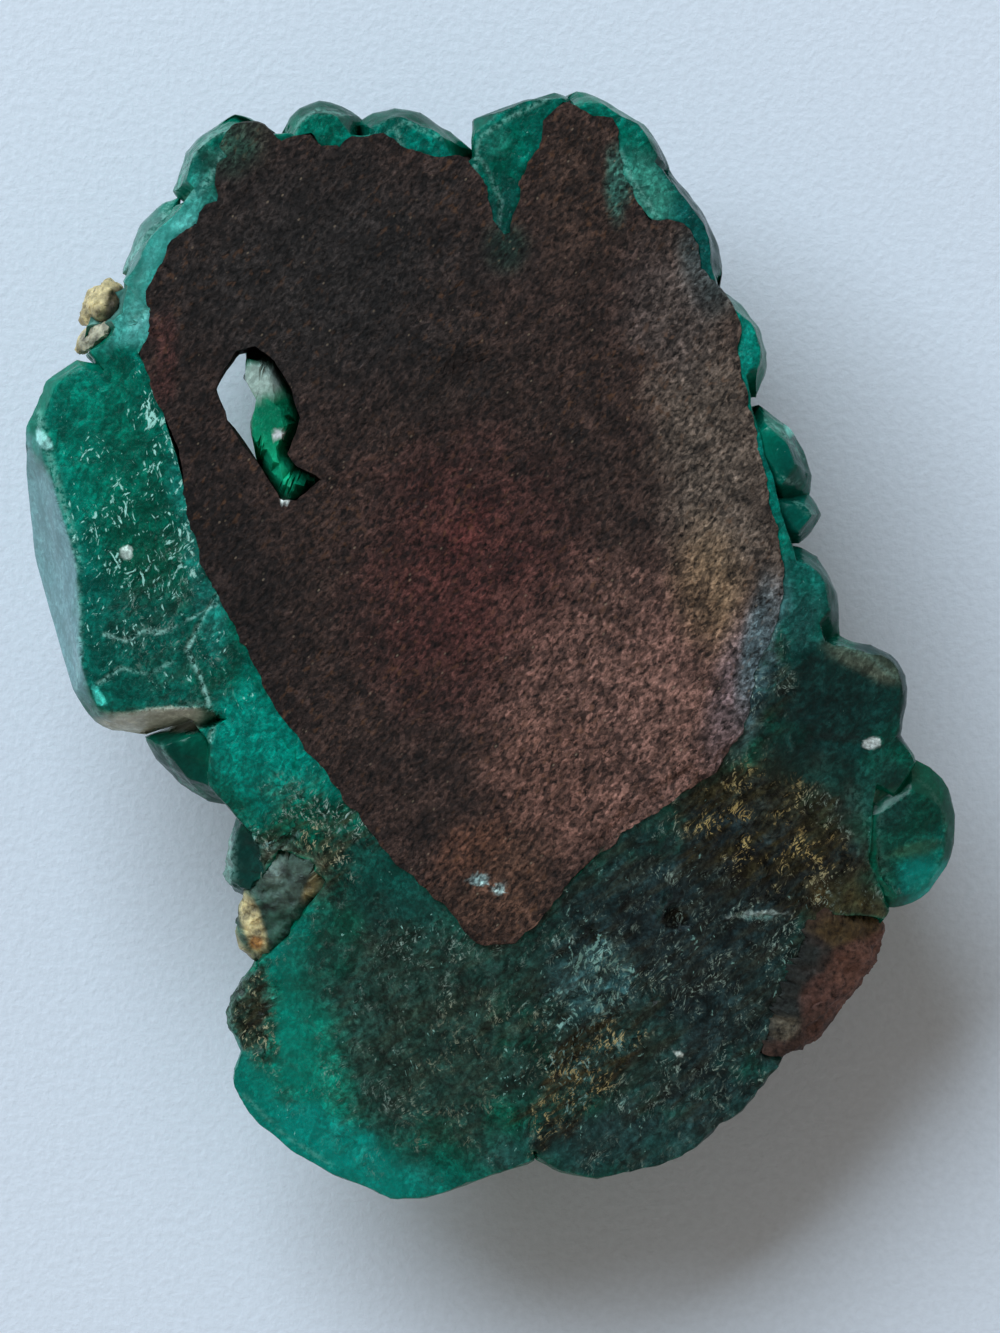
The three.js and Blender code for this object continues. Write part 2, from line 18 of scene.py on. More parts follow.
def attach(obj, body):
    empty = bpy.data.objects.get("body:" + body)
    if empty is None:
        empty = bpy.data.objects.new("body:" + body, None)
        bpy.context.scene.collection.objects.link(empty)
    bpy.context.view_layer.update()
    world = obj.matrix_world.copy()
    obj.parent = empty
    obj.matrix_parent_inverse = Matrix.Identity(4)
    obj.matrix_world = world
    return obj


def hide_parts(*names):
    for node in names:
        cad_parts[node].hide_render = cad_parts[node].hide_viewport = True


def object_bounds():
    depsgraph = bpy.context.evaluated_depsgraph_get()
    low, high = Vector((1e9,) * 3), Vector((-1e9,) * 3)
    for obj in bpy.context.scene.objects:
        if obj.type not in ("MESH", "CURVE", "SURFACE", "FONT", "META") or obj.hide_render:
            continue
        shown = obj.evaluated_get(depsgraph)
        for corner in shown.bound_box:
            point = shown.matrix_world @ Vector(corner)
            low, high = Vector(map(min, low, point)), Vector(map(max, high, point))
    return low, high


bl_info = {
    "name": "Rough dioptase",
    "version": (1, 0, 0),
    "blender": (4, 5, 0),
    "location": "View3D > Sidebar > Dioptase",
    "description": "Dresses a rough dioptase cluster on its host rock, with the paper it lies on",
    "category": "Object",
}

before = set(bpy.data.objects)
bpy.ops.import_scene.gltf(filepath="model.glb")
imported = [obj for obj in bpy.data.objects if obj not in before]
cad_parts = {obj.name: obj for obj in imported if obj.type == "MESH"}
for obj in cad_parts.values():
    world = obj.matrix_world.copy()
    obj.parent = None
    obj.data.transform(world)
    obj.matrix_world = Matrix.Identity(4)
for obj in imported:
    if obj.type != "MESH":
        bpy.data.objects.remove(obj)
CAD_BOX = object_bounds()

MM = 0.001
# The height of the ground back where it is level, in millimetres.
TOP = CAD_BOX[1][2] / MM
# Where the outline's own coordinates, in millimetres, have their origin in the frame.
OUTLINE_ORIGIN = np.array([0.1, -0.05])

# The open hole in the rock: its middle and reach, the middle of the rock's ring that keeps clear of it, and
# the middle and half sizes of its crusted walls.
HOLE = (-10, 9.6)
HOLE_REACH = 3.6
HOLE_RING = (-10.5, 10.2)
HOLE_WALLS = ((-9.6, 9.8), (3, 4.6))

# The prism face of the left crystal, and the gap behind the lobe on the right: middles and half sizes.
PRISM_FACE = ((-20, 3), (1.8, 7))
CHOKED_GAP = ((17.3, -6.4), (1.3, 1.5))

# Heights in millimetres: the foot of the mass, where faces begin to lie open to the light, and where the
# back is near.
FOOT_LEVEL = 4.5
OPEN_LEVEL = 7
NEAR_BACK = 9.5
# Depths under the back: the head of a rim crystal, where its filling out brings that, and its foot.
HEAD_DEPTH = 4.2
FILLED_DEPTH = 1.9
FOOT_DEPTH = 9.0
# How deep light still comes through the crystal, in millimetres, and a depth that none passes.
CLEAR_DEPTH = 2.6
DEEP = 30.0

# Meshing: rounds of halving, the turn in radians below which two faces are one, and a distance beyond all.
MOST_HALVINGS = 12
FLAT_ANGLE = 0.002
FAR = 1e9
# The wavelength of the crookedness that pieces share where they meet, and the height of a faint relief.
SHARED_WAVE = 1.7
FAINT = 0.02

# The small crystals: what the geometry tree asks for, the rise of a tip and of its raised corners on a unit
# prism, and how far a crystal leans, in radians.
GROWTH_INPUTS = (
    ("Geometry", "Geometry"),
    ("Count per area", "Float"),
    ("Smallest radius", "Float"),
    ("Largest radius", "Float"),
    ("Seed", "Int"),
)
TIP_RISE = 1.235
CORNER_RISE = 0.617
LEAN = 0.6

# The stage, in metres: half the paper's side, the window, and the middle and height of the framed view.
PAPER_REACH = 1.5
WINDOW_PLACE = (-0.51, 0.8, 0.74)
WINDOW_SIZE = (1.0, 0.8)
VIEW_MIDDLE = (0.37 * MM, -0.89 * MM)
VIEW_HEIGHT = 60.6 * MM

# Base colours, which the patches are laid over.
GROUND_GREEN = "#005540"
GROWN_GREEN = "#00654c"
SMALL_GREEN = "#007a5a"
SILTSTONE = "#30221d"
IRONSTONE = "#402e27"
CREAM = "#c9b684"
# Colours within the finishes, and of the light.
CRUSHED_OLIVE = "#34301f"
SOUND_CHIP = "#a6e4d4"
CRUSHED_CHIP = "#789a92"
CLEAN_FIBRE = "#a8c0b2"
PALE_SPECK = "#b09a80"
ROOM_COLOUR = "#f2ebe2"
WINDOW_COLOUR = "#dff1ff"

# The grinding passes: where each starts, the way it falls, and its fall per millimetre.
HEART_TIP = (0.3, -13.0)
PASSES = (
    (HEART_TIP, (0.0, -1.0), 0.0),
    (HEART_TIP, (-0.6, -0.8), 0.45),
    ((0.6, -13.3), (0.69, -0.724), 0.42),
    ((-12.4, 2.5), (-0.93, -0.37), 0.14),
)

# Colour patches of the ground rock: name, middle, half sizes, turn in degrees, colour, strength.
ROCK_PATCHES = (
    ("manganese crown", (-8, 17), (8, 6), 0, "#1d1b1a", 0.85),
    ("black left margin", (-12, 4), (2.6, 10), 14, "#1b1412", 0.8),
    ("oxide red middle", (-1, 3), (5, 6), 0, "#46211e", 0.65),
    ("black seam", (-2, 12), (3, 1.6), 30, "#1c1512", 0.6),
    # Painted sheen: the paler grey of the right margin stands for light glancing off the ground face there.
    ("painted sheen on the right margin", (10, 8), (2.6, 9), 8, "#63564b", 0.7),
    ("warm lower right", (6.5, -2.5), (6, 6), 40, "#705046", 0.85),
    ("olive stain, right", (9.8, 2.6), (1.6, 3), 10, "#7a6144", 0.5),
    ("tan lower middle", (2.6, -6), (3, 3.6), 0, "#5e4036", 0.7),
    ("tan tip", (0.3, -10.6), (2.4, 2.6), 0, "#4c3428", 0.85),
    ("upper right tongue", (4, 20.5), (2, 4), 0, "#3a2a22", 0.6),
    ("orange rust beside the tip", (-1, -9), (2.2, 1.2), 35, "#5a3829", 0.5),
    ("red streak of the middle", (-1.2, 5.2), (1.8, 0.8), 60, "#4c2320", 0.5),
    ("buried tip of the tongue", (0.5, 18.4), (0.9, 1.3), 0, "#12261f", 0.95),
    ("crystal skin over the edge of the tongue", (5.5, 21.2), (0.45, 1.7), 0, "#2f6458", 0.85),
    ("dark upper right margin", (9.4, 17.2), (0.9, 2.4), 12, "#24393a", 0.9),
    ("pale stain, upper right", (8, 15), (2, 3), 20, "#554945", 0.5),
    ("crystal in the rock, upper left", (-12, 22.6), (1.6, 1.1), 0, "#1c4034", 0.8),
    ("crystal in the rock, left", (-14.8, 13), (0.5, 2), 0, "#3f2420", 0.8),
    ("slate corner", (10.9, -1.5), (1.1, 3.5), -15, "#6a5a5c", 0.7),
    ("bluish coat over the margin", (11.7, -0.2), (0.6, 3.0), -10, "#4d6064", 0.9),
)

# Colour patches of the ground crystals round it.
CRYSTAL_PATCHES = (
    ("left crystal, clear end", (-19, 9.5), (3, 4), 0, "#007058", 0.85),
    ("left crystal, deep end", (-16.5, -0.2), (4.4, 4), 0, "#085448", 0.85),
    ("left crystal, dark middle", (-15.6, 4.6), (2.2, 2.4), 20, "#00442f", 0.75),
    ("left crystal, dark head", (-16, 9.6), (1.8, 2), 10, "#00503a", 0.7),
    ("cleavage along the left margin", (-13.6, 6), (0.8, 6.5), 10, "#1f8074", 0.6),
    ("upper left band", (-15.5, 17.6), (2.4, 4), -35, "#8ceee6", 0.95),
    ("clear tips of the band", (-17.2, 16.6), (1.3, 1.8), -35, "#7f9c96", 0.85),
    ("brown stain on the first crystal", (-12.2, 21.4), (2, 1.2), -30, "#2c2a20", 0.8),
    ("second top crystal", (-7.6, 23.6), (2.4, 1.6), 0, "#005238", 0.85),
    ("third top crystal", (-3.8, 22.8), (2.4, 1.4), 0, "#005446", 0.85),
    ("tongue", (1.2, 21.6), (2.4, 3.4), 0, "#003c28", 0.95),
    ("pitted end of the tongue", (-0.1, 23), (0.8, 0.8), 0, "#2f8a74", 0.5),
    ("tip of the tongue", (0.5, 19.3), (1.5, 1.8), 0, "#0c2c26", 0.95),
    ("clear patch", (6.8, 20.8), (1.4, 2.4), 25, "#438a78", 0.8),
    ("dark upper right rim", (9.6, 18.6), (1.6, 3.8), 15, "#0c3838", 0.97),
    ("first right crystal", (11.7, 13.6), (1.3, 2.6), 0, "#0a8070", 0.9),
    ("second right crystal", (13.1, 8.8), (2, 2.2), 0, "#06382f", 0.9),
    ("its clear middle", (13.5, 9), (0.8, 1.1), 0, "#00a080", 0.9),
    ("third right crystal", (14.1, 5.9), (1.2, 1.2), 0, "#1f5a4c", 0.8),
    ("fourth right crystal", (14.2, 2.2), (1.8, 2.4), 0, "#1e3634", 0.9),
    ("below the lens", (13.4, 0.8), (1.4, 1.4), 0, "#1f3c3a", 0.9),
    ("bluish coat", (11.7, -1.2), (1.0, 3.8), -12, "#5c737b", 0.95),
    ("shoulder", (15.6, -2.8), (3.8, 3.4), 0, "#15292a", 0.97),
    ("shoulder, tan face", (16.9, -0.6), (2, 0.6), -25, "#6a6252", 0.7),
    ("dark crystal under the shoulder", (14.8, -5.8), (3.4, 1.4), -20, "#1a302e", 0.95),
    ("stained ground below the shoulder", (13, -8.4), (5.4, 3), -24, "#363222", 0.97),
    ("glassy lobe", (19.2, -8), (2.2, 3.6), 0, "#104838", 0.95),
    ("glassy lobe, root", (17.9, -6.8), (1.1, 2.2), 10, "#1f3c36", 0.9),
    ("glassy lobe, stain", (19.3, -9.1), (1.2, 0.4), 12, "#47552c", 0.8),
    # Painted glow: the bright cyan of the lobe's clear end stands for light shining out through it.
    ("glassy lobe, clear end", (19.5, -10.5), (1.1, 1.1), 30, "#14b4a8", 0.95),
    ("lower right face", (8.5, -15), (9.5, 8.6), 0, "#253438", 0.97),
    ("smooth dark band", (11.6, -10.5), (3.0, 1.1), -12, "#1f2524", 0.85),
    ("green crumbs", (5, -18.5), (3, 4), -20, "#2b4d44", 0.6),
    ("lower edge", (7, -22.6), (7.5, 2.2), 8, "#2d4245", 0.85),
    ("olive corner", (15.9, -11.8), (1.8, 1.5), 0, "#4c3c20", 0.95),
    ("lower left face", (-3.2, -17), (6, 6.6), -10, "#274139", 0.95),
    ("margin under the heart", (-5.2, -10.6), (3.4, 1.8), -50, "#123c36", 0.8),
    ("blue crumbs", (4.6, -15.2), (2, 1.6), -10, "#3e686a", 0.9),
    ("teal margin of the heart", (-10.2, -4.6), (3, 3), -40, "#008876", 0.85),
    # Painted glow: the lower left edge and rim are painted bright teal for light shining through the thin
    # crystal there.
    ("lower left edge", (-9, -20), (2.4, 5.6), 16, "#00886e", 0.85),
    ("bright rim, lower left", (-7.4, -22.6), (3.8, 1.3), -32, "#00a090", 0.9),
    ("granular lump", (-11.3, -16.2), (1.2, 2.5), 8, "#2c4438", 1.0),
    ("pit zone", (-9.9, -10.3), (2.2, 1.3), 0, "#6c6c5c", 0.85),
)

# Colour patches of the grown and broken faces.
GROWN_PATCHES = (
    ("left crystal, outside", (-18.6, 8), (3.4, 6), 8, "#00765c", 0.9),
    # Painted reflection: the prism face's pale grey stands for the paper and sky mirrored in it.
    ("prism face of the left crystal", (-20.2, 3.2), (1.5, 6.4), 8, "#7fa7ad", 0.95),
    ("wedge, outside", (-14.6, -5.6), (1.6, 2), -30, "#063a2e", 0.95),
    ("lobe below it, outside", (-12.2, -7.2), (1.4, 2), -40, "#06483a", 0.9),
    ("leaning prism, outside", (-11.6, -9.8), (1.3, 2), 0, "#082c28", 0.95),
    ("pale side of the leaning prism", (-12.2, -9.4), (0.35, 1.8), 0, "#8fa39c", 0.9),
    ("end face of the left crystal", (-15.5, -3.3), (2.4, 0.6), 8, "#cdc9b6", 0.95),
    ("clear tips, upper left", (-17.3, 17.5), (1.6, 3), -30, "#6f8e88", 0.85),
    ("first top crystal, outside", (-14.6, 22.4), (1.6, 2.4), -35, "#2a6a5a", 0.8),
    ("top crystals, outside", (-5, 24.4), (5, 1.2), 0, "#003a28", 0.95),
    ("tongue, outside", (1, 24.6), (2.6, 1.4), 0, "#003a2a", 0.95),
    # Painted light: the crystals of the hole are painted brighter than they are, for the light that shines
    # up through the crystal into the shaded hole; the grey crystal's pale grey is a painted reflection.
    ("walls of the hole", *HOLE_WALLS, 0, "#12a874", 1.0),
    ("grey crystal in the hole", (-10.5, 12.1), (1.2, 0.9), 20, "#b4c4ba", 0.95),
    ("dark crystal in the hole", (-10.2, 10.4), (0.8, 1.0), 0, "#067450", 0.9),
    ("bright shelf in the hole", (-9.4, 8.1), (1.5, 0.6), -12, "#1fc890", 0.95),
    ("foot of the hole", (-9.1, 6.9), (1.2, 0.5), 30, "#0a8a60", 0.9),
    ("granular lump, outside", (-11.8, -16.4), (1.2, 2.4), 8, "#3a4a3e", 0.95),
    ("upper right, outside", (9, 20.6), (3, 4), 35, "#083430", 0.95),
    ("lens, outside", (14.5, 6), (2, 9), 0, "#083e33", 0.9),
    ("shoulder, outside", (18, -2), (2, 4), 0, "#1c2e2e", 0.9),
    ("lobe, outside", (20.4, -9), (2.4, 4), 0, "#044c38", 0.9),
    # Painted glow: the bright cyan of the lobe's clear end stands for light shining out through it.
    ("lobe, clear end", (20.2, -10.6), (1.2, 1.2), 0, "#0cb0a4", 0.95),
    # Painted glow: bright teal for light shining through the thin crystal of the lower left.
    ("lower left, outside", (-9, -21), (4, 5), 0, "#0c8f80", 0.8),
    ("lower right, outside", (11.5, -19), (6.4, 5), -40, "#22403c", 0.95),
    ("beside the rust, outside", (13.4, -14.8), (1.8, 4), -20, "#22302f", 0.95),
)

# Colour patches of the rusty outcrop.
RUST_PATCHES = (
    ("dark inner side", (13.2, -15), (1.2, 3.6), -20, "#2a302e", 0.97),
    ("red outer edge", (16.5, -14.6), (0.9, 2.8), -34, "#6c4a3e", 0.9),
    ("red spot", (15, -15.8), (1, 0.8), 0, "#60423a", 0.8),
    ("olive top", (15.8, -12.6), (2, 0.7), 0, "#4c3c22", 0.9),
    ("pale chip", (13.2, -17.4), (0.6, 0.5), 30, "#6e6656", 0.8),
)

# Colour patches of the calcite.
CALCITE_PATCHES = (
    ("crystal dust over the vein chip", (-9.2, -12), (3, 4), 0, "#2a5646", 1.0),
    ("dusty top of the vein chip", (-9.2, -10.6), (1.6, 1.2), 0, "#4a6256", 0.95),
    ("clear lump in the dust", (-10, -10.1), (0.6, 0.7), 0, "#7f978c", 0.9),
    ("cream strip of the vein chip", (-10.9, -12.7), (0.42, 1.5), 16, "#d8c690", 1.0),
    ("honey spots of the strip", (-10.8, -13.4), (0.3, 0.3), 0, "#b87a30", 0.9),
    ("honey edge of the vein chip", (-8.3, -10.8), (0.3, 0.9), -24, "#9a8858", 0.9),
    ("brown side of the bead", (-16.9, 15.4), (0.7, 0.9), 0, "#3b2a1c", 0.9),
    ("pale flake", (-18, 14), (1, 0.7), 0, "#b3b09c", 0.8),
)

# Single spots: name, middle, half sizes, turn, colour. Some are painted glints and one is painted shade.
SPOTS = (
    ("pale inclusion", (-16.6, 4.3), (0.25, 0.34), -15, "#cfe4d8"),
    # Painted highlights: glints on the left crystal's shoulder and lower corner, and on the right shoulder.
    ("painted glint at the shoulder of the left crystal", (-20.4, 9.4), (0.25, 0.55), 35, "#b4f2ea"),
    ("painted glint at its lower corner", (-17.9, -2.2), (0.2, 0.6), 25, "#4fdcc8"),
    ("bright chip of the right shoulder", (17.1, -4.3), (0.42, 0.28), 15, "#d6dedc"),
    ("pale chip, lower right", (8.4, -18.4), (0.22, 0.18), 0, "#c3cfca"),
    ("pale flecks of the tip", (-0.6, -10.5), (0.42, 0.24), 0, "#8ea8a6"),
    ("beside them", (0.3, -10.9), (0.3, 0.2), 50, "#7d8f8c"),
    # Painted highlight: a glint in the hole.
    ("painted glint in the hole", (-9.8, 9.6), (0.24, 0.24), 0, "#ffffff"),
    ("glint at the foot of the hole", (-9.5, 6.5), (0.26, 0.12), 0, "#e8f4ee"),
    # Painted shade: the round pit is painted near black where shade falls into it.
    ("painted shade in the round pit", (8.15, -12.25), (0.6, 0.52), 0, "#050909"),
    ("torn line, lower right", (11.9, -12.1), (1.5, 0.1), 2, "#93a39e"),
    ("stained fleck, lower left", (-10.4, -20.3), (0.2, 0.09), 35, "#d2caae"),
    ("bead of light on the right crystal", (13.4, 9.9), (0.28, 0.34), 0, "#7fe0cc"),
)

# Where finer features lie on the ground crystals: feature, middle, half sizes, turn, strength.
FEATURES = (
    ("fleck", (-16.6, 5.2), (3.6, 7.6), 8, 1.25),
    ("fleck", (-14.4, 8), (1.2, 5), 10, 1.6),
    ("fleck", (-18.4, 4.8), (1, 3), 8, 1.5),
    ("fleck", (-12.4, -1), (2, 3), 0, 0.8),
    ("fleck", (-8.5, -8), (2.5, 3), 0, 1.0),
    ("fleck", (4.6, -15.6), (2.4, 2.6), -10, 1.45),
    ("fleck", (4.2, -18.6), (2.4, 3.4), -25, 1.15),
    ("fleck", (-9, -18), (3, 5), 0, 0.6),
    ("fleck", (2, -16), (14, 10), 0, 0.7),
    ("fleck", (0, 22), (10, 4), 0, 0.5),
    ("strand", (8.5, -15), (9.5, 9), 0, 0.7),
    ("strand", (-3, -17.5), (6, 6), 0, 0.5),
    ("strand", (-8.2, -8.6), (2.6, 3), 0, 1.0),
    ("strand", (12.4, -8.4), (5.0, 2.6), -25, 1.6),
    ("strand", (-11.2, -16), (1.4, 2.8), 8, 1.2),
    ("strand", (4.2, -19), (1.6, 4.6), -35, 1.6),
    ("strand", (11.9, -2), (1.5, 3.6), -16, 0.7),
    ("strand", (-14, 1), (3, 4), 0, 0.3),
    ("gold", (12.4, -8.6), (4.5, 2), -22, 1.0),
    ("gold", (12.5, -6.4), (2, 1.6), 0, 0.9),
    ("gold", (4, -19.6), (1.5, 4.4), -35, 0.9),
    ("gold", (-11.2, -16), (1.4, 2.8), 8, 0.6),
    ("gold", (-8.4, -9.6), (2, 1.6), 0, 0.6),
    ("gold", (-1, -19), (4, 4), 0, 0.4),
    ("clear", (-18.8, 8), (2.6, 5), 0, 0.5),
    ("clear", (-9.6, -19), (4, 7), 0, 1.0),
    ("clear", (-6, -23.6), (5, 2.4), -20, 1.0),
    ("clear", (13.4, 9), (2.4, 6), 0, 0.5),
    ("clear", (19.6, -10.4), (1.4, 1.8), 0, 0.9),
    ("clear", (-15.6, 17.6), (2.8, 4.4), -35, 0.9),
    ("clear", (0, 24), (14, 3), 0, 0.3),
    ("rough", (8.5, -15), (10, 9), 0, 0.7),
    ("rough", (4.6, -16), (3, 4), 0, 1.3),
    ("rough", (12.6, -8.4), (4, 2.6), -22, 1.2),
    ("rough", (-11.2, -16), (1.4, 2.8), 8, 1.4),
    ("rough", (-9.5, -10), (2.5, 2), 0, 1.4),
    ("rough", (-4, -17), (6, 6), 0, 0.5),
)

# Joints and cracks in the ground back: name, line, depth, half width, how pale they are.
SEAMS = (
    ("joint of the left crystal", ((-12.4, 2.6), (-12.9, 1.8), (-13.4, 0.9), (-13.9, -0.1), (-13.3, -1.2),
     (-12.9, -2.5), (-12.6, -3.2), (-12.8, -4), (-13.2, -6)), 0.1, 0.085, 0.9),
    ("crack across the left crystal", ((-17.6, 0.6), (-16.6, 0.3), (-15.9, 0.8), (-15, 0.7), (-13.8, 1.3),
     (-12.5, 2)), 0.04, 0.06, 0.8),
    ("foot of the left crystal", ((-17.4, -3.4), (-16, -2.9), (-14.6, -2.75), (-13.1, -2.65)),
     0.12, 0.2, 0.25),
    ("arc of the teal lobe", ((-11.9, -8), (-10.9, -8.9), (-9.8, -9.1), (-8.9, -8.4)), 0.12, 0.1, 0.7),
    ("ridge between the lower faces", ((0.4, -13.2), (1, -15.4), (0.6, -18), (1.5, -20.6), (1.4, -23.3)),
     0.07, 0.35, 0.0),
    ("under the right margin", ((4.6, -9), (6.4, -7.3), (8.2, -6), (10.4, -4.7)), 0.14, 0.3, 0.0),
    ("shoulder joint", ((12.4, -0.5), (13.2, -2.4), (14.6, -4.2), (16.4, -4.4)), 0.16, 0.3, 0.0),
    ("lobe joint", ((16.2, -6.4), (17, -8), (17.4, -9.6), (17.9, -11.2)), 0.16, 0.3, 0.1),
    ("crack in the tongue", ((-0.9, 22.6), (-0.2, 21.4), (0.3, 20.2), (0.2, 18.8)), 0.06, 0.08, 0.25),
    ("crack low on the left crystal", ((-17.9, -1.6), (-16.9, -0.9), (-15.6, -1.2), (-14.6, -0.6)),
     0.04, 0.07, 0.5),
    ("torn line, lower right", ((10.8, -12), (11.6, -12.2), (12.5, -12.2)), 0.06, 0.1, 0.8),
    ("upper left joint", ((-16.4, 14.6), (-15.2, 15.6), (-14.6, 17.4)), 0.1, 0.2, 0.3),
)

# Painted highlights on crystal edges that catch the light: name, line, half width, how pale they are.
GLINTS = (
    ("shoulder of the left crystal", ((-20.6, 10.6), (-20.2, 9), (-19.8, 7.6), (-19.2, 5.6), (-18.8, 3.6)),
     0.17, 0.6),
    ("edge of its prism face", ((-18.8, 3), (-18.7, 0.8), (-18.9, -1.8)), 0.1, 0.45),
    ("edge of its end face", ((-18.2, -2.9), (-16.8, -3.1), (-15.2, -2.8), (-13.4, -2.4)), 0.12, 0.4),
    ("outer edge of the band", ((-18.2, 14.6), (-17, 16.8), (-15.8, 18.6), (-14.6, 19.8)), 0.14, 0.7),
    ("first top crystal", ((-15, 19.6), (-14.3, 20.9), (-13.8, 22), (-12.9, 23.1), (-11.9, 23.5)),
     0.13, 0.65),
    ("facet of the first top crystal", ((-14.2, 20.2), (-13, 20.9), (-12.2, 22.4)), 0.12, 0.6),
    ("second top crystal", ((-9.4, 22.2), (-8.8, 23.8), (-8, 24.3), (-6.8, 24.1)), 0.09, 0.5),
    ("third top crystal", ((-5.4, 22.2), (-4.8, 23.3), (-4, 23.8), (-2.4, 23)), 0.09, 0.5),
    ("its inner ridge", ((-4.4, 23.4), (-4.1, 22.4)), 0.08, 0.7),
    ("tongue, outer edge", ((-0.9, 21.4), (-0.7, 23), (0.6, 23.9), (2.4, 24.8)), 0.1, 0.6),
    ("clear patch", ((5.6, 22.4), (6.4, 20.8), (7.4, 19.4)), 0.14, 0.6),
    ("second right crystal", ((12.3, 10.3), (13.1, 9.7), (14, 8.6)), 0.1, 0.6),
    ("its lower edge", ((12.9, 7.7), (13.8, 7.4)), 0.1, 0.6),
    ("third right crystal", ((13.6, 6.6), (14.5, 6)), 0.1, 0.5),
    ("right shoulder", ((15.4, 0.2), (17, -0.4), (18.2, -1.4)), 0.12, 0.3),
    ("lobe, outer edge", ((18.8, -5.6), (19.8, -6.4), (20.4, -7.4), (20.6, -8.8)), 0.09, 0.12),
    ("lobe, inner edge", ((17.6, -6.8), (17.5, -8.4)), 0.14, 0.15),
    ("lobe, clear end", ((19, -11), (19.9, -10.4), (20.4, -9.4)), 0.14, 0.1),
    ("wedge, outer edge", ((-15.1, -4.4), (-14.3, -6), (-13, -6.8)), 0.09, 0.4),
    ("leaning prism, clear edge", ((-11.9, -7.8), (-12, -9.4), (-12, -10.8)), 0.24, 0.6),
    ("granular lump, edge", ((-11.8, -14.8), (-12.1, -16.4), (-11.7, -18)), 0.1, 0.4),
    ("bright rim, lower left", ((-11.4, -20.4), (-9.6, -22.2), (-7.4, -23.6)), 0.1, 0.35),
)

# Facets beside the ground back: name, upper edge with the facet on the right of its way, fall, reach.
FACETS = (
    ("prism face of the left crystal", ((-20.9, 9), (-20.1, 8.1), (-19.7, 6.4), (-18.95, 4), (-18.75, 1.6),
     (-18.7, -0.9), (-18.9, -2.1)), 2.3, 3.2),
    ("end face of the left crystal", ((-18.6, -2.4), (-17.4, -3), (-16, -2.9), (-14.4, -2.75),
     (-13.1, -2.6)), 1.6, 1.0),
)

# Small hollows: name, middle, radius, depth.
HOLLOWS = (
    ("pit in the rock", (-1.3, 12.3), 0.8, 0.25),
    ("pit beside it", (-0.7, 12.9), 0.5, 0.12),
    ("round pit", (8.3, -12.2), 0.55, 0.4),
    ("pit zone, left", (-10.2, -10), 0.8, 0.35),
    ("pit zone, middle", (-9.3, -10.9), 0.7, 0.4),
    ("pit zone, right", (-8.6, -9.8), 0.6, 0.3),
    ("nick in the left crystal", (-13.9, -5.2), 0.9, 0.3),
)


def linear(code):
    """An sRGB hex colour as linear RGBA."""
    parts = [int(code[i : i + 2], 16) / 255 for i in (1, 3, 5)]
    return (*[p / 12.92 if p <= 0.04045 else ((p + 0.055) / 1.055) ** 2.4 for p in parts], 1.0)


# ---------------------------------------------------------------- shapes, on arrays in millimetres


def read(items, key, width=1, kind=float):
    """A value, or a row of width values, from each item of a mesh."""
    values = np.empty(len(items) * width, kind)
    items.foreach_get(key, values)
    return values.reshape(-1, width) if width > 1 else values


def solid_of(node):
    """A CAD node's points in millimetres and its triangles, with shared corners merged."""
    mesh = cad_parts[node].data
    mesh.calc_loop_triangles()
    points = np.round(read(mesh.vertices, "co", 3) / MM, 4)
    points, same = np.unique(points, axis=0, return_inverse=True)
    faces = same.reshape(-1)[read(mesh.loop_triangles, "vertices", 3, int)]
    return points, faces[(faces != np.roll(faces, 1, axis=1)).all(axis=1)]


def unit(rows):
    """The rows as directions, each one long."""
    return rows / np.maximum(np.linalg.norm(rows, axis=1), 1e-12)[:, None]


def crosses(points, faces):
    """Each triangle's outward direction, as long as twice its area."""
    a, b, c = (points[faces[:, i]] for i in range(3))
    return np.cross(b - a, c - a)


def gathered(values, faces, count):
    """For each of count points, the sum of the values of the triangles round it."""
    total = np.zeros((count, *values.shape[1:]))
    for i in range(3):
        np.add.at(total, faces[:, i], values)
    return total


def point_normals(points, faces):
    """The outward direction at each point."""
    return unit(gathered(crosses(points, faces), faces, len(points)))


def from_place(points, place=(0, 0)):
    """Where each point lies from a place in the outline's coordinates, seen from above."""
    return points[:, :2] - OUTLINE_ORIGIN - place


def away_from(points, place):
    """How far each point is from a place in the outline's coordinates, seen from above."""
    return np.linalg.norm(from_place(points, place), axis=1)


def ramp(values, low, high):
    """0 up to low, 1 from high on, and straight between them."""
    return np.clip((values - low) / (high - low), 0, 1)


def ground_height(points):
    """Height of the ground back over each point."""
    heights = []
    for start, (dx, dy), fall in PASSES:
        x, y = from_place(points, start).T
        heights.append(TOP - fall * (x * dx + y * dy))
    return np.min(heights, axis=0)


def is_ground(points, faces):
    """Which triangles belong to the ground back: they lie at its height and face up."""
    middle = points[faces].mean(axis=1)
    level = np.abs(ground_height(middle) - middle[:, 2]) < 0.02
    return level & (unit(crosses(points, faces))[:, 2] > 0.8)


def edges_of(faces):
    """Each edge once, as a pair of points, and which edges are the three sides of each triangle."""
    sides = np.sort(faces[:, [[0, 1], [1, 2], [2, 0]]].reshape(-1, 2), axis=1)
    edges, back = np.unique(sides, axis=0, return_inverse=True)
    return edges, back.reshape(-1, 3)


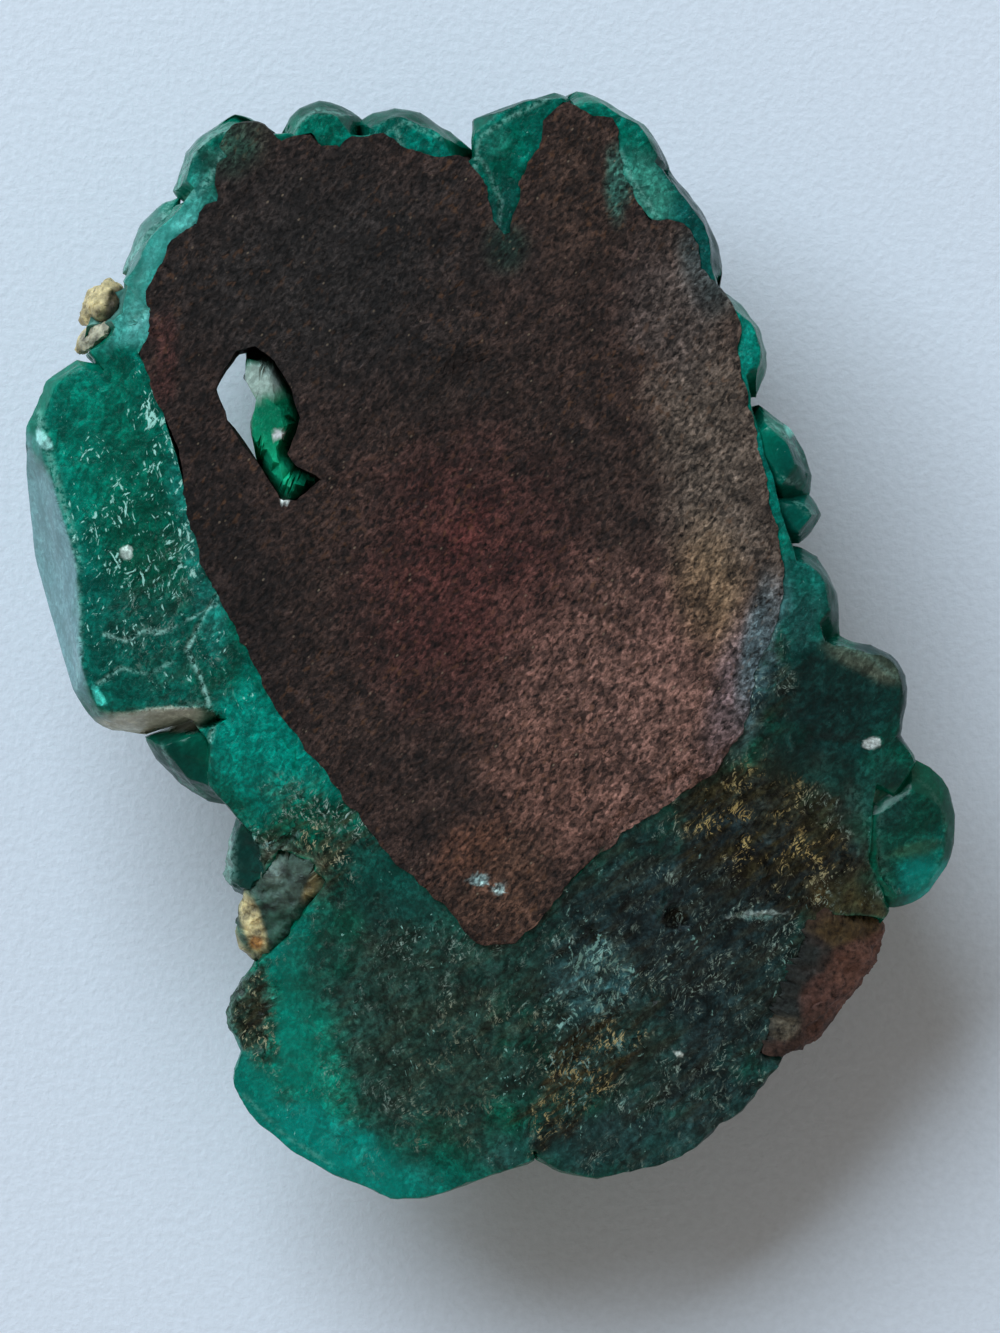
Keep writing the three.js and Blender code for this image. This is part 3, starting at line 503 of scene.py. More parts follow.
def divided(faces, middles):
    """Cuts each triangle at the middles of its sides; a side that stays whole has -1 for its middle."""
    cut = middles >= 0
    count = cut.sum(axis=1)
    made = [faces[count == 0]]
    for turn in range(3):
        f, m, c = (np.roll(rows, -turn, axis=1) for rows in (faces, middles, cut))
        one = (count == 1) & c[:, 0]
        a, b, d, ab = f[one, 0], f[one, 1], f[one, 2], m[one, 0]
        made += [np.stack([a, ab, d], 1), np.stack([ab, b, d], 1)]
        two = (count == 2) & c[:, 0] & c[:, 1]
        a, b, d, ab, bd = f[two, 0], f[two, 1], f[two, 2], m[two, 0], m[two, 1]
        made += [np.stack([ab, b, bd], 1), np.stack([a, ab, bd], 1), np.stack([a, bd, d], 1)]
    three = count == 3
    a, b, d = faces[three].T
    ab, bd, da = middles[three].T
    made += [np.stack(corners, 1) for corners in ((a, ab, da), (ab, b, bd), (bd, d, da), (ab, bd, da))]
    return np.vstack(made)


def refine(points, faces, sizes):
    """Halves edges until each is shorter than the size that sizes(points, faces) gives for its triangles."""
    for _ in range(MOST_HALVINGS):
        limit = sizes(points, faces)
        edges, back = edges_of(faces)
        allowed = np.full(len(edges), np.inf)
        for i in range(3):
            np.minimum.at(allowed, back[:, i], limit)
        ends = points[edges]
        long = np.linalg.norm(ends[:, 0] - ends[:, 1], axis=1) > allowed
        if not long.any():
            break
        number = np.full(len(edges), -1)
        number[long] = len(points) + np.arange(long.sum())
        points = np.vstack([points, ends[long].mean(axis=1)])
        faces = divided(faces, number[back])
    return points, faces


def even_out(points, faces):
    """Turns edges within flat faces so that their triangles are as even as they can be."""
    mesh = bpy.data.meshes.new("even_out")
    mesh.from_pydata(points, [], faces)
    work = bmesh.new()
    work.from_mesh(mesh)
    inner = [e for e in work.edges if len(e.link_faces) == 2 and e.calc_face_angle() < FLAT_ANGLE]
    bmesh.ops.beautify_fill(work, faces=work.faces, edges=inner, method="ANGLE")
    work.to_mesh(mesh)
    work.free()
    turned = read(mesh.polygons, "vertices", 3, int)
    bpy.data.meshes.remove(mesh)
    return turned


def fine_solid(node, sizes):
    """A CAD node's points and triangles, divided in steps to the sizes."""
    points, faces = solid_of(node)
    faces = even_out(points, faces)
    for step in (8, 4, 2, 1):
        points, faces = refine(points, faces, lambda p, f: step * sizes(p, f))
        faces = even_out(points, faces)
    return points, faces


def all_over(size):
    """Sizes for fine_solid that are the same all over."""
    return lambda points, faces: np.full(len(faces), size)


def fractal(points, wavelength, octaves=1, seed=0.0):
    """Fractal noise of about -1 to 1 at each point."""
    scaled = (points / wavelength + seed).tolist()
    return np.array([noise.fractal(p, 0.9, 2.0, octaves, noise_basis="PERLIN_NEW") for p in scaled])


def wander(points, amount, wavelength, seed=0.0):
    """A sideways shift of each point that depends only on its place, so pieces that meet keep meeting."""
    x = fractal(points, wavelength, 4, seed)
    y = fractal(points, wavelength, 4, seed + 31.7)
    return amount * np.stack([x, y, np.zeros_like(x)], axis=1)


def lifted(points, rise):
    """The points, each raised by its rise."""
    return points + rise[:, None] * (0, 0, 1)


def swollen(points, host):
    """Fills out the rim crystals below the back, and lifts those in the open hole; host is the rock."""
    depth = ground_height(points) - points[:, 2]
    lower = FILLED_DEPTH + (depth - HEAD_DEPTH) * (FOOT_DEPTH - FILLED_DEPTH) / (FOOT_DEPTH - HEAD_DEPTH)
    filled = np.where(depth < HEAD_DEPTH, 0.45 * depth, lower)
    filled = np.where((depth > 0) & (depth < FOOT_DEPTH), filled, depth)
    clear = np.zeros(len(points))
    covered = np.zeros(len(points), bool)
    for k, point in enumerate(points.tolist()):
        clear[k] = host.find_nearest(point)[3]
        covered[k] = host.ray_cast(point, (0, 0, 1))[0] is not None
    rim = ramp(clear, 0.35, 0.95) * ~covered
    # In the hole, what stands above 7 mm rises by up to 3.4 mm, away from the rock.
    lift = 3.4 * ramp(points[:, 2], 7, 9) * ramp(clear, 0, 0.6) * ~covered
    hole = away_from(points, HOLE) < HOLE_REACH
    return lifted(points, np.where(hole, lift, rim * (depth - filled)))


def faceted(points):
    """Lets the ground back fall away in flat facets beyond their upper edges."""
    place = from_place(points)
    top = ground_height(points)
    for _, line, fall, reach in FACETS:
        beyond = np.full(len(points), FAR)
        height = np.zeros(len(points))
        outside = np.zeros(len(points), bool)
        for a, b in stretches(line):
            length = np.linalg.norm(b - a)
            way = (b - a) / length
            along = (place - a) @ way
            near = a + np.clip(along, 0, length)[:, None] * way
            off = place - near
            distance = np.linalg.norm(off, axis=1)
            right = off[:, 0] * way[1] - off[:, 1] * way[0]
            # Past its ends a stretch counts only where the way to it is nearly square on.
            past = (along < 0) | (along > length)
            square = ~past | (np.abs(right) / np.maximum(distance, 1e-9) > 0.7)
            level = ground_height(np.column_stack([near + OUTLINE_ORIGIN, np.zeros(len(points))]))
            closer = distance < beyond
            beyond = np.where(closer, distance, beyond)
            height = np.where(closer, level, height)
            outside = np.where(closer, (right > 0) & square, outside)
        facet = np.where(outside & (beyond < reach), height - fall * beyond, top)
        # What lies less than 2 mm under the facet is squeezed to fit below it.
        low = facet - 2.0
        squeezed = low + (points[:, 2] - low) * (facet - low) / (top - low)
        cut = (facet < top) & (points[:, 2] > low)
        points = np.column_stack([points[:, :2], np.where(cut, squeezed, points[:, 2])])
    return points


def choked(points):
    """Raises the gap behind the lobe nearly to the ground back, as it is choked with crushed crystal."""
    choke = patch_weight(points, *CHOKED_GAP, turn=0, warp=0, edge=0.3)
    level = ground_height(points) - 0.5 + 0.15 * fractal(points, 0.8, 3, 61.0)
    return lifted(points, choke * np.clip(level - points[:, 2], 0, None) * (points[:, 2] > OPEN_LEVEL))


def hollowed(points, normals, weight):
    """Lowers seams and hollows into a surface, by weight, and returns how pale the seams are there, with the
    painted highlights of the glints.
    """
    depth = np.zeros(len(points))
    pale = np.zeros(len(points))
    jitter = 0.1 * fractal(points, 1.1, 3, 3.0)
    for _, line, deep, half, light in SEAMS:
        near = np.exp(-(((line_distance(points, line) + jitter) / half) ** 2))
        depth = np.maximum(depth, deep * near)
        pale = np.maximum(pale, light * near)
    for _, middle, radius, deep in HOLLOWS:
        away = away_from(points, middle) + 0.6 * jitter
        depth = np.maximum(depth, deep * np.clip(1.3 - away / radius, 0, 1))
    pale *= weight
    # Painted highlights: the glint lines are laid into the paleness on faces that lie open above.
    open_above = np.clip(4 * normals[:, 2], 0, 1) * (points[:, 2] > OPEN_LEVEL)
    for _, line, half, light in GLINTS:
        near = np.exp(-(((line_distance(points, line) + 0.6 * jitter) / half) ** 2))
        pale = np.maximum(pale, 0.55 * light * near * open_above)
    return points - (weight * depth)[:, None] * normals, pale


def patch_weight(points, middle, half, turn, warp, edge=0.6):
    """How far inside an ellipse each point is, 1 in its middle and 0 outside, with a ragged edge."""
    x, y = from_place(points, middle).T
    t = math.radians(turn)
    u = (x * math.cos(t) + y * math.sin(t)) / half[0]
    v = (-x * math.sin(t) + y * math.cos(t)) / half[1]
    inside = np.clip((1 + 0.42 * edge - np.hypot(u, v) + 0.45 * warp) / edge, 0, 1)
    return inside * inside * (3 - 2 * inside)


def covered_by(colours, colour, weight):
    """The colours with another colour, or other colours, laid over them by weight."""
    return colours * (1 - weight[:, None]) + np.array(colour) * weight[:, None]


def painted(points, base, patches, ragged=1.0, edge=0.6):
    """The colour of each point, from a base colour and the patches laid over it in turn."""
    warp = ragged * fractal(points, 2.2, 3, 5.0)
    colours = np.tile(np.array(linear(base)), (len(points), 1))
    for _, middle, half, turn, code, strength in patches:
        weight = strength * patch_weight(points, middle, half, turn, warp, edge)
        colours = covered_by(colours, linear(code), weight)
    return colours


def spotted(points, colours):
    """Lays the small single spots over the colours, near the ground back and in the hole; some are painted
    glints and painted shade.
    """
    ripple = 0.5 * fractal(points, 0.35, 2, 51.0)
    seen = (points[:, 2] > NEAR_BACK) | (away_from(points, HOLE) < HOLE_REACH)
    for _, middle, half, turn, code in SPOTS:
        weight = patch_weight(points, middle, half, turn, ripple, edge=0.3) * seen
        colours = covered_by(colours, linear(code), weight)
    return colours


def feature_warp(points):
    """What makes the outlines of the features ragged."""
    return fractal(points, 1.8, 3, 11.0)


def feature_weights(points, warp, kind, edge=0.6):
    """How strong a kind of feature is at each point; the warp makes its outlines ragged."""
    weights = [s * patch_weight(points, m, h, t, warp, edge) for k, m, h, t, s in FEATURES if k == kind]
    return np.max(weights, axis=0)


def neighbour_mean(values, faces):
    """Each point's mean over the points it shares an edge with."""
    edges, _ = edges_of(faces)
    sums = np.zeros_like(values)
    counts = np.zeros(len(values))
    for i, j in ((0, 1), (1, 0)):
        np.add.at(sums, edges[:, i], values[edges[:, j]])
        np.add.at(counts, edges[:, i], 1)
    counts = np.maximum(counts, 1)
    return sums / (counts[:, None] if values.ndim == 2 else counts)


def soften(points, faces, share, angle):
    """Wears the sharp edges: each point on one moves towards the mean of its neighbours."""
    edges, back = edges_of(faces)
    total = np.zeros((len(edges), 3))
    np.add.at(total, back.reshape(-1), np.repeat(unit(crosses(points, faces)), 3, axis=0))
    sharp = np.linalg.norm(total, axis=1) / 2 < math.cos(math.radians(angle) / 2)
    worn = np.zeros(len(points), bool)
    worn[edges[sharp].reshape(-1)] = True
    return np.where(worn[:, None], points + share * (neighbour_mean(points, faces) - points), points)


def thinness(points, normals, tree):
    """1 where light from beside or below reaches a point through little crystal, 0 where it is deep."""
    ways = [Vector((0, 0, -1))]
    for i in range(6):
        a = i * math.pi / 3
        ways.append(Vector((math.cos(a), math.sin(a), -0.8)).normalized())
    result = np.zeros(len(points))
    # The rays start just under the surface, so that they miss the triangles they leave from.
    starts = (points - 0.06 * normals).tolist()
    for k, (start, normal) in enumerate(zip(starts, normals.tolist())):
        hits = (tree.ray_cast(start, way)[3] for way in ways if way.dot(normal) < -0.2)
        best = min((depth for depth in hits if depth is not None), default=DEEP)
        result[k] = math.exp(-min(best, DEEP) / CLEAR_DEPTH)
    return result


def crevice(points, faces, rounds=8):
    """1 in the crevices between crystals, 0 on their open faces."""
    hollow = np.einsum("ij,ij->i", neighbour_mean(points, faces) - points, point_normals(points, faces))
    hollow = np.clip(hollow / 0.03, -1, 1)
    for _ in range(rounds):
        hollow = 0.4 * hollow + 0.6 * neighbour_mean(hollow, faces)
    return np.clip(hollow * 5, 0, 1)


def stretches(line):
    """The two ends of each straight stretch of a line."""
    return zip(np.array(line[:-1], float), np.array(line[1:], float))


def line_distance(points, line):
    """Distance of each point, seen from above, from a line of plan points."""
    place = from_place(points)
    best = np.full(len(points), FAR)
    for a, b in stretches(line):
        t = np.clip(((place - a) @ (b - a)) / ((b - a) @ (b - a)), 0, 1)
        best = np.minimum(best, np.linalg.norm(place - a - t[:, None] * (b - a), axis=1))
    return best


def store(mesh, colours=None, values=None):
    """Keeps a colour and named numbers for each point of a mesh, for its material to read."""
    if colours is not None:
        layer = mesh.attributes.new("tint", "FLOAT_COLOR", "POINT")
        layer.data.foreach_set("color", colours.astype(np.float32).reshape(-1))
    for key, value in (values or {}).items():
        layer = mesh.attributes.new(key, "FLOAT", "POINT")
        layer.data.foreach_set("value", value.astype(np.float32))


def mesh_object(name, points, faces, material, colours=None, values=None, angle=32):
    """An object of points in millimetres, smooth but for the edges that turn more than angle degrees."""
    mesh = bpy.data.meshes.new(name)
    mesh.from_pydata(points * MM, [], faces)
    store(mesh, colours, values)
    mesh.materials.append(material)
    mesh.update()
    mesh.shade_smooth()
    mesh.set_sharp_from_angle(angle=math.radians(angle))
    return placed(name, mesh)


def placed(name, data):
    """A new object of the scene that shows the data."""
    thing = bpy.data.objects.new(name, data)
    bpy.context.scene.collection.objects.link(thing)
    return thing


def settle(piece, slot, *nodes):
    """The piece rides on the specimen and stands for the nodes, whose solids it hides; slot is not used."""
    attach(piece, "root")
    if nodes:
        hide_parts(*nodes)


# ---------------------------------------------------------------- materials


def put(tree, kind, inputs=(), **settings):
    """Adds a node with its settings and inputs; a shader node's kind goes without its first word."""
    node = tree.nodes.new(kind if "Node" in kind else "ShaderNode" + kind)
    for key, value in settings.items():
        setattr(node, key, value)
    feed(tree, node, inputs)
    return node


def feed(tree, node, inputs):
    """Gives a node's inputs, by name or in order, each a value, a socket or a node's first output."""
    used = [socket for socket in node.inputs if socket.enabled]
    for key, value in inputs.items() if isinstance(inputs, dict) else enumerate(inputs):
        socket = used[key] if isinstance(key, int) else node.inputs[key]
        if isinstance(value, bpy.types.Node):
            value = next(output for output in value.outputs if output.enabled)
        if isinstance(value, bpy.types.NodeSocket):
            tree.links.new(value, socket)
        else:
            socket.default_value = value


def new_material(name):
    """An empty node material with its shader, and its place in millimetres, so scales count per mm."""
    material = bpy.data.materials.new(name)
    material.use_nodes = True
    tree = material.node_tree
    place = put(tree, "TexCoord")
    mm = put(tree, "VectorMath", (place.outputs["Object"], 1 / MM), operation="SCALE")
    return material, tree, tree.nodes["Principled BSDF"], mm


def clouded(tree, mm, along, crumb, values, settings):
    """The green of the crystal: clouded by cleavage, even where it is clear, banded where it is crushed."""
    tint = put(tree, "Attribute", attribute_name="tint")
    # Clouds of cleavage a millimetre across, with crumbs of a quarter of one in them.
    cloud = put(
        tree, "TexNoise", {"Vector": mm, "Scale": 0.9, "Detail": 6.0, "Roughness": 0.74, "Distortion": 0.4}
    )
    shade = put(tree, "MapRange", (cloud, 0.34, 0.66, 0.16, 1.9))
    fine = put(tree, "MapRange", (crumb, 0.34, 0.66, 0.35, 1.7))
    mixed = put(tree, "Math", (shade, fine), operation="MULTIPLY")
    # Cleavage grains nearly half a millimetre long, each with a tone of its own.
    grain = put(tree, "TexVoronoi", {"Vector": along, "Scale": 2.2})
    tone = put(tree, "SeparateXYZ", (grain.outputs["Color"],))
    grains = put(tree, "MapRange", (tone, 0.0, 1.0, 0.55, 1.5))
    both = put(tree, "Math", (mixed, grains), operation="MULTIPLY")
    # Where the crystal is thin its colour turns to the glow colour, a painted glow of the light shining
    # through it; clear crystal also evens the clouds out.
    evened = put(tree, "Mix", (values["calm"], both, 1.0), data_type="FLOAT")
    glow = put(tree, "Mix", (values["thin"], tint, settings.thin_glow_colour), data_type="RGBA")
    body = put(tree, "VectorMath", (glow, evened), operation="SCALE")
    # Crushed faces carry olive bands a few millimetres long, drawn by the movement that crushed them.
    slip = put(
        tree, "Mapping", {"Vector": mm, "Rotation": (0, 0, math.radians(34)), "Scale": (3.2, 0.5, 1.0)},
        vector_type="TEXTURE",
    )
    band = put(tree, "TexNoise", {"Vector": slip, "Scale": 1.0, "Detail": 4.0, "Roughness": 0.65})
    olive = put(tree, "MapRange", (band, 0.44, 0.62, 0.0, 0.75))
    stained = put(tree, "Math", (olive, values["strand"]), operation="MULTIPLY", use_clamp=True)
    earthy = put(tree, "VectorMath", (linear(CRUSHED_OLIVE)[:3], evened), operation="SCALE")
    return put(tree, "Mix", (stained, body, earthy), data_type="RGBA")


def chipped(tree, mm, along, cross, crumb, values):
    """Where pale chips, joints, healed cracks and painted glints lie: 1 in them, 0 between them."""
    # Pale dashes half a millimetre long, in clusters, where cleavage breaks out of the ground face.
    dash = put(tree, "TexNoise", {"Vector": along, "Scale": 1.9, "Detail": 3.0, "Roughness": 0.6})
    most = put(tree, "Math", (dash, cross), operation="MAXIMUM")
    cluster = put(tree, "TexNoise", {"Vector": mm, "Scale": 0.5, "Detail": 2.0})
    thick = put(tree, "MapRange", (cluster, 0.35, 0.65, -0.05, 0.05))
    raised = put(tree, "Math", (most, thick), operation="ADD")
    # The more chips there are, the lower the noise that already makes one.
    least = put(tree, "MapRange", (values["fleck"], 0.0, 2.0, 0.78, 0.53))
    over = put(tree, "Math", (raised, least), operation="SUBTRACT")
    chip = put(tree, "MapRange", (over, 0.0, 0.06, 0.0, 1.0))
    # Joints, healed cracks and painted glints are broken up along their length.
    gap = put(tree, "MapRange", (crumb, 0.42, 0.56, 0.0, 1.0))
    line = put(tree, "Math", (values["seam"], gap), operation="MULTIPLY")
    return put(tree, "Math", (chip, line), operation="MAXIMUM")


def fibrous(tree, mm, along, cross, values):
    """Where torn fibres lie, in bunches: a tangle of threads, drawn 0.1 mm wide so that they show."""
    tangle = put(
        tree, "TexNoise", {"Vector": along, "Scale": 1.1, "Detail": 4.0, "Roughness": 0.6, "Distortion": 1.3}
    )
    side = put(tree, "Math", (tangle, 0.5), operation="SUBTRACT")
    size = put(tree, "Math", (side,), operation="ABSOLUTE")
    thread = put(tree, "MapRange", (size, 0.006, 0.04, 1.0, 0.0))
    some = put(tree, "MapRange", (cross, 0.46, 0.6, 0.0, 1.0))
    kept = put(tree, "Math", (thread, some), operation="MULTIPLY")
    bunch = put(tree, "TexNoise", {"Vector": mm, "Scale": 0.7, "Detail": 3.0, "Roughness": 0.6})
    lush = put(tree, "MapRange", (bunch, 0.46, 0.62, 0.05, 1.5))
    there = put(tree, "Math", (values["strand"], lush), operation="MULTIPLY")
    return put(tree, "Math", (kept, there), operation="MULTIPLY", use_clamp=True)


def ground_dioptase(settings):
    """Dioptase, sawn and ground on its back, broken or naturally grown elsewhere.

    Clear green crystal darkens with depth and is painted lighter where thin, a painted glow; cleavage and
    inclusions cloud it, and grinding leaves pale chips.
    """
    material, tree, shader, mm = new_material("dioptase_crystal")
    kinds = ("dull", "calm", "thin", "fleck", "seam", "strand", "gold")
    values = {kind: put(tree, "Attribute", attribute_name=kind).outputs["Fac"] for kind in kinds}
    crumb = put(tree, "TexNoise", {"Vector": mm, "Scale": 3.8, "Detail": 4.0, "Roughness": 0.7})
    # Cleavage runs two ways, a little bent.
    bend = put(tree, "TexNoise", {"Vector": mm, "Scale": 0.7, "Detail": 2.0})
    bent = put(
        tree, "VectorMath", (bend.outputs["Color"], (0.9, 0.9, 0.9), mm), operation="MULTIPLY_ADD"
    )
    along, across = (
        put(
            tree, "Mapping", {"Vector": bent, "Rotation": (0, 0, math.radians(turn)), "Scale": drawn_out},
            vector_type="TEXTURE",
        )
        for turn, drawn_out in ((52, (1.0, 0.4, 0.6)), (-72, (1.0, 0.34, 0.6)))
    )
    cross = put(tree, "TexNoise", {"Vector": across, "Scale": 1.8, "Detail": 3.0, "Roughness": 0.6})
    green = clouded(tree, mm, along, crumb, values, settings)
    # Chips, and the painted glints with them, are pale green where the crystal is sound and chalky where it
    # is crushed.
    pale = chipped(tree, mm, along, cross, crumb, values)
    chalk = put(tree, "Mix", (values["strand"], linear(SOUND_CHIP), linear(CRUSHED_CHIP)), data_type="RGBA")
    worn = put(tree, "Mix", (pale, green, chalk), data_type="RGBA")
    # Fibres are golden where limonite stains them.
    torn = fibrous(tree, mm, along, cross, values)
    fibre = put(tree, "Mix", (values["gold"], linear(CLEAN_FIBRE), settings.fibre_colour), data_type="RGBA")
    final = put(tree, "Mix", (torn, worn, fibre), data_type="RGBA")
    # Ground faces are dulled by the grit, grown faces are glassy and keep their polish.
    dull = put(
        tree, "MapRange", (values["dull"], 0.0, 1.0, settings.grown_roughness, settings.ground_roughness)
    )
    polish = put(tree, "MapRange", (values["dull"], 0.0, 1.0, 0.05, 0.0))
    # Cloudy crystal passes little light, and chips and fibres pass none.
    clear = put(tree, "MapRange", (values["dull"], 0.0, 1.0, 0.2, 0.12))
    opaque = put(tree, "Math", (pale, torn), operation="MAXIMUM")
    let = put(tree, "Math", (1.0, opaque), operation="SUBTRACT", use_clamp=True)
    through = put(tree, "Math", (clear, let), operation="MULTIPLY")
    # Scratches and pluck marks in the ground skin; grown faces keep only a faint ripple.
    height = put(tree, "Math", (crumb, cross), operation="ADD")
    skin = put(tree, "MapRange", (values["dull"], 0.0, 1.0, 0.06, 0.6))
    bump = put(tree, "Bump", {"Strength": skin, "Distance": 0.1 * MM, "Height": height})
    feed(tree, shader, {
        "Base Color": final, "Roughness": dull, "IOR": settings.refraction, "Specular IOR Level": 0.04,
        "Transmission Weight": through, "Coat Weight": polish, "Coat Roughness": 0.1, "Normal": bump,
    })
    # Dioptase absorbs red most, then blue: a few millimetres turn white light emerald.
    absorb = put(tree, "VolumeAbsorption", (settings.depth_colour, settings.depth_density))
    feed(tree, tree.nodes["Material Output"], {"Volume": absorb})
    return material


def ground_rock(settings):
    """Copper-bearing siltstone stained by iron and manganese, sawn and ground.

    A dull, dark, grainy face: the grit leaves short streaks across it, and iron-rich grains show warm.
    """
    material, tree, shader, mm = new_material("ground_host_rock")
    tint = put(tree, "Attribute", attribute_name="tint")
    streak = put(
        tree, "Mapping", {"Vector": mm, "Rotation": (0, 0, math.radians(50)), "Scale": (1.0, 0.62, 0.8)},
        vector_type="TEXTURE",
    )
    # Grains a quarter of a millimetre long, drawn out a little along the grinding, with finer ones in them.
    grain = put(tree, "TexNoise", {"Vector": streak, "Scale": 3.6, "Detail": 4.0, "Roughness": 0.75})
    blotch = put(tree, "TexNoise", {"Vector": mm, "Scale": 0.8, "Detail": 7.0, "Roughness": 0.72})
    shade = put(tree, "MapRange", (grain, 0.34, 0.68, 0.04, 2.4))
    patch = put(tree, "MapRange", (blotch, 0.34, 0.66, 0.35, 1.75))
    coarse = put(tree, "Math", (shade, patch), operation="MULTIPLY")
    # Sand grains a quarter of a millimetre long, each with a tone of its own.
    sand = put(tree, "TexVoronoi", {"Vector": streak, "Scale": 3.9})
    tone = put(tree, "SeparateXYZ", (sand.outputs["Color"],))
    grains = put(tree, "MapRange", (tone, 0.0, 1.0, 0.34, 1.7))
    both = put(tree, "Math", (coarse, grains), operation="MULTIPLY")
    body = put(tree, "VectorMath", (tint, both), operation="SCALE")
    speck = put(tree, "TexNoise", {"Vector": streak, "Scale": 2.1, "Detail": 4.0})
    warm = put(tree, "MapRange", (speck, 0.58, 0.7, 0.0, 0.7))
    area = put(tree, "TexNoise", {"Vector": mm, "Scale": 0.22, "Detail": 3.0})
    there = put(tree, "MapRange", (area, 0.42, 0.6, 0.15, 1.0))
    iron = put(tree, "Math", (warm, there), operation="MULTIPLY")
    warmed = put(tree, "VectorMath", (tint, settings.iron_colour[:3]), operation="ADD")
    rusty = put(tree, "Mix", (iron, body, warmed), data_type="RGBA")
    # Odd pale specks stand out of the face.
    near = put(tree, "MapRange", (sand, 0.2, 0.36, 1.0, 0.0))
    odd = put(tree, "MapRange", (tone.outputs["Y"], 0.965, 0.99, 0.0, 0.35))
    wink = put(tree, "Math", (near, odd), operation="MULTIPLY")
    final = put(tree, "Mix", (wink, rusty, linear(PALE_SPECK)), data_type="RGBA")
    rough = put(tree, "MapRange", (grain, 0.3, 0.7, 0.85, 0.55))
    relief = put(tree, "Math", (shade, grains), operation="MULTIPLY")
    bump = put(tree, "Bump", {"Strength": 0.6, "Distance": 0.05 * MM, "Height": relief})
    feed(tree, shader, {
        "Base Color": final, "Roughness": rough, "IOR": 1.55, "Specular IOR Level": 0.2, "Normal": bump,
    })
    return material


def broken_ironstone():
    """Iron-stained rock, broken and weathered: matt, rust red in places, with darker pores."""
    material, tree, shader, mm = new_material("weathered_ironstone")
    tint = put(tree, "Attribute", attribute_name="tint")
    # Crumbs a third of a millimetre across.
    lumps = put(tree, "TexNoise", {"Vector": mm, "Scale": 2.8, "Detail": 6.0, "Roughness": 0.72})
    shade = put(tree, "MapRange", (lumps, 0.34, 0.66, 0.15, 2.0))
    body = put(tree, "VectorMath", (tint, shade), operation="SCALE")
    bump = put(tree, "Bump", {"Strength": 0.9, "Distance": 0.12 * MM, "Height": lumps})
    feed(tree, shader, {"Base Color": body, "Roughness": 0.72, "Specular IOR Level": 0.3, "Normal": bump})
    return material


def broken_calcite():
    """Calcite, broken: cream and half translucent, greyed by dust and honey brown in its cracks."""
    material, tree, shader, mm = new_material("broken_calcite")
    tint = put(tree, "Attribute", attribute_name="tint")
    stain = put(tree, "TexNoise", {"Vector": mm, "Scale": 1.5, "Detail": 7.0, "Roughness": 0.7})
    shade = put(tree, "MapRange", (stain, 0.36, 0.62, 0.25, 1.4))
    body = put(tree, "VectorMath", (tint, shade), operation="SCALE")
    bump = put(tree, "Bump", {"Strength": 0.9, "Distance": 0.2 * MM, "Height": stain})
    feed(tree, shader, {
        "Base Color": body, "Roughness": 0.45, "Normal": bump, "Subsurface Weight": 0.2,
        "Subsurface Radius": (1.0, 0.8, 0.5), "Subsurface Scale": 0.4 * MM,
    })
    return material


def writing_paper(settings):
    """Uncoated writing paper: matt bluish white with a faint felt grain."""
    material, tree, shader, mm = new_material("writing_paper")
    felt = put(tree, "TexNoise", {"Vector": mm, "Scale": 2.8, "Detail": 4.0, "Roughness": 0.6})
    shade = put(tree, "MapRange", (felt, 0.3, 0.7, 0.96, 1.04))
    body = put(tree, "VectorMath", (settings.paper_colour[:3], shade), operation="SCALE")
    bump = put(tree, "Bump", {"Strength": 0.35, "Distance": 0.12 * MM, "Height": felt})
    feed(tree, shader, {"Base Color": body, "Roughness": 0.9, "Normal": bump})
    return material


# ---------------------------------------------------------------- small crystals


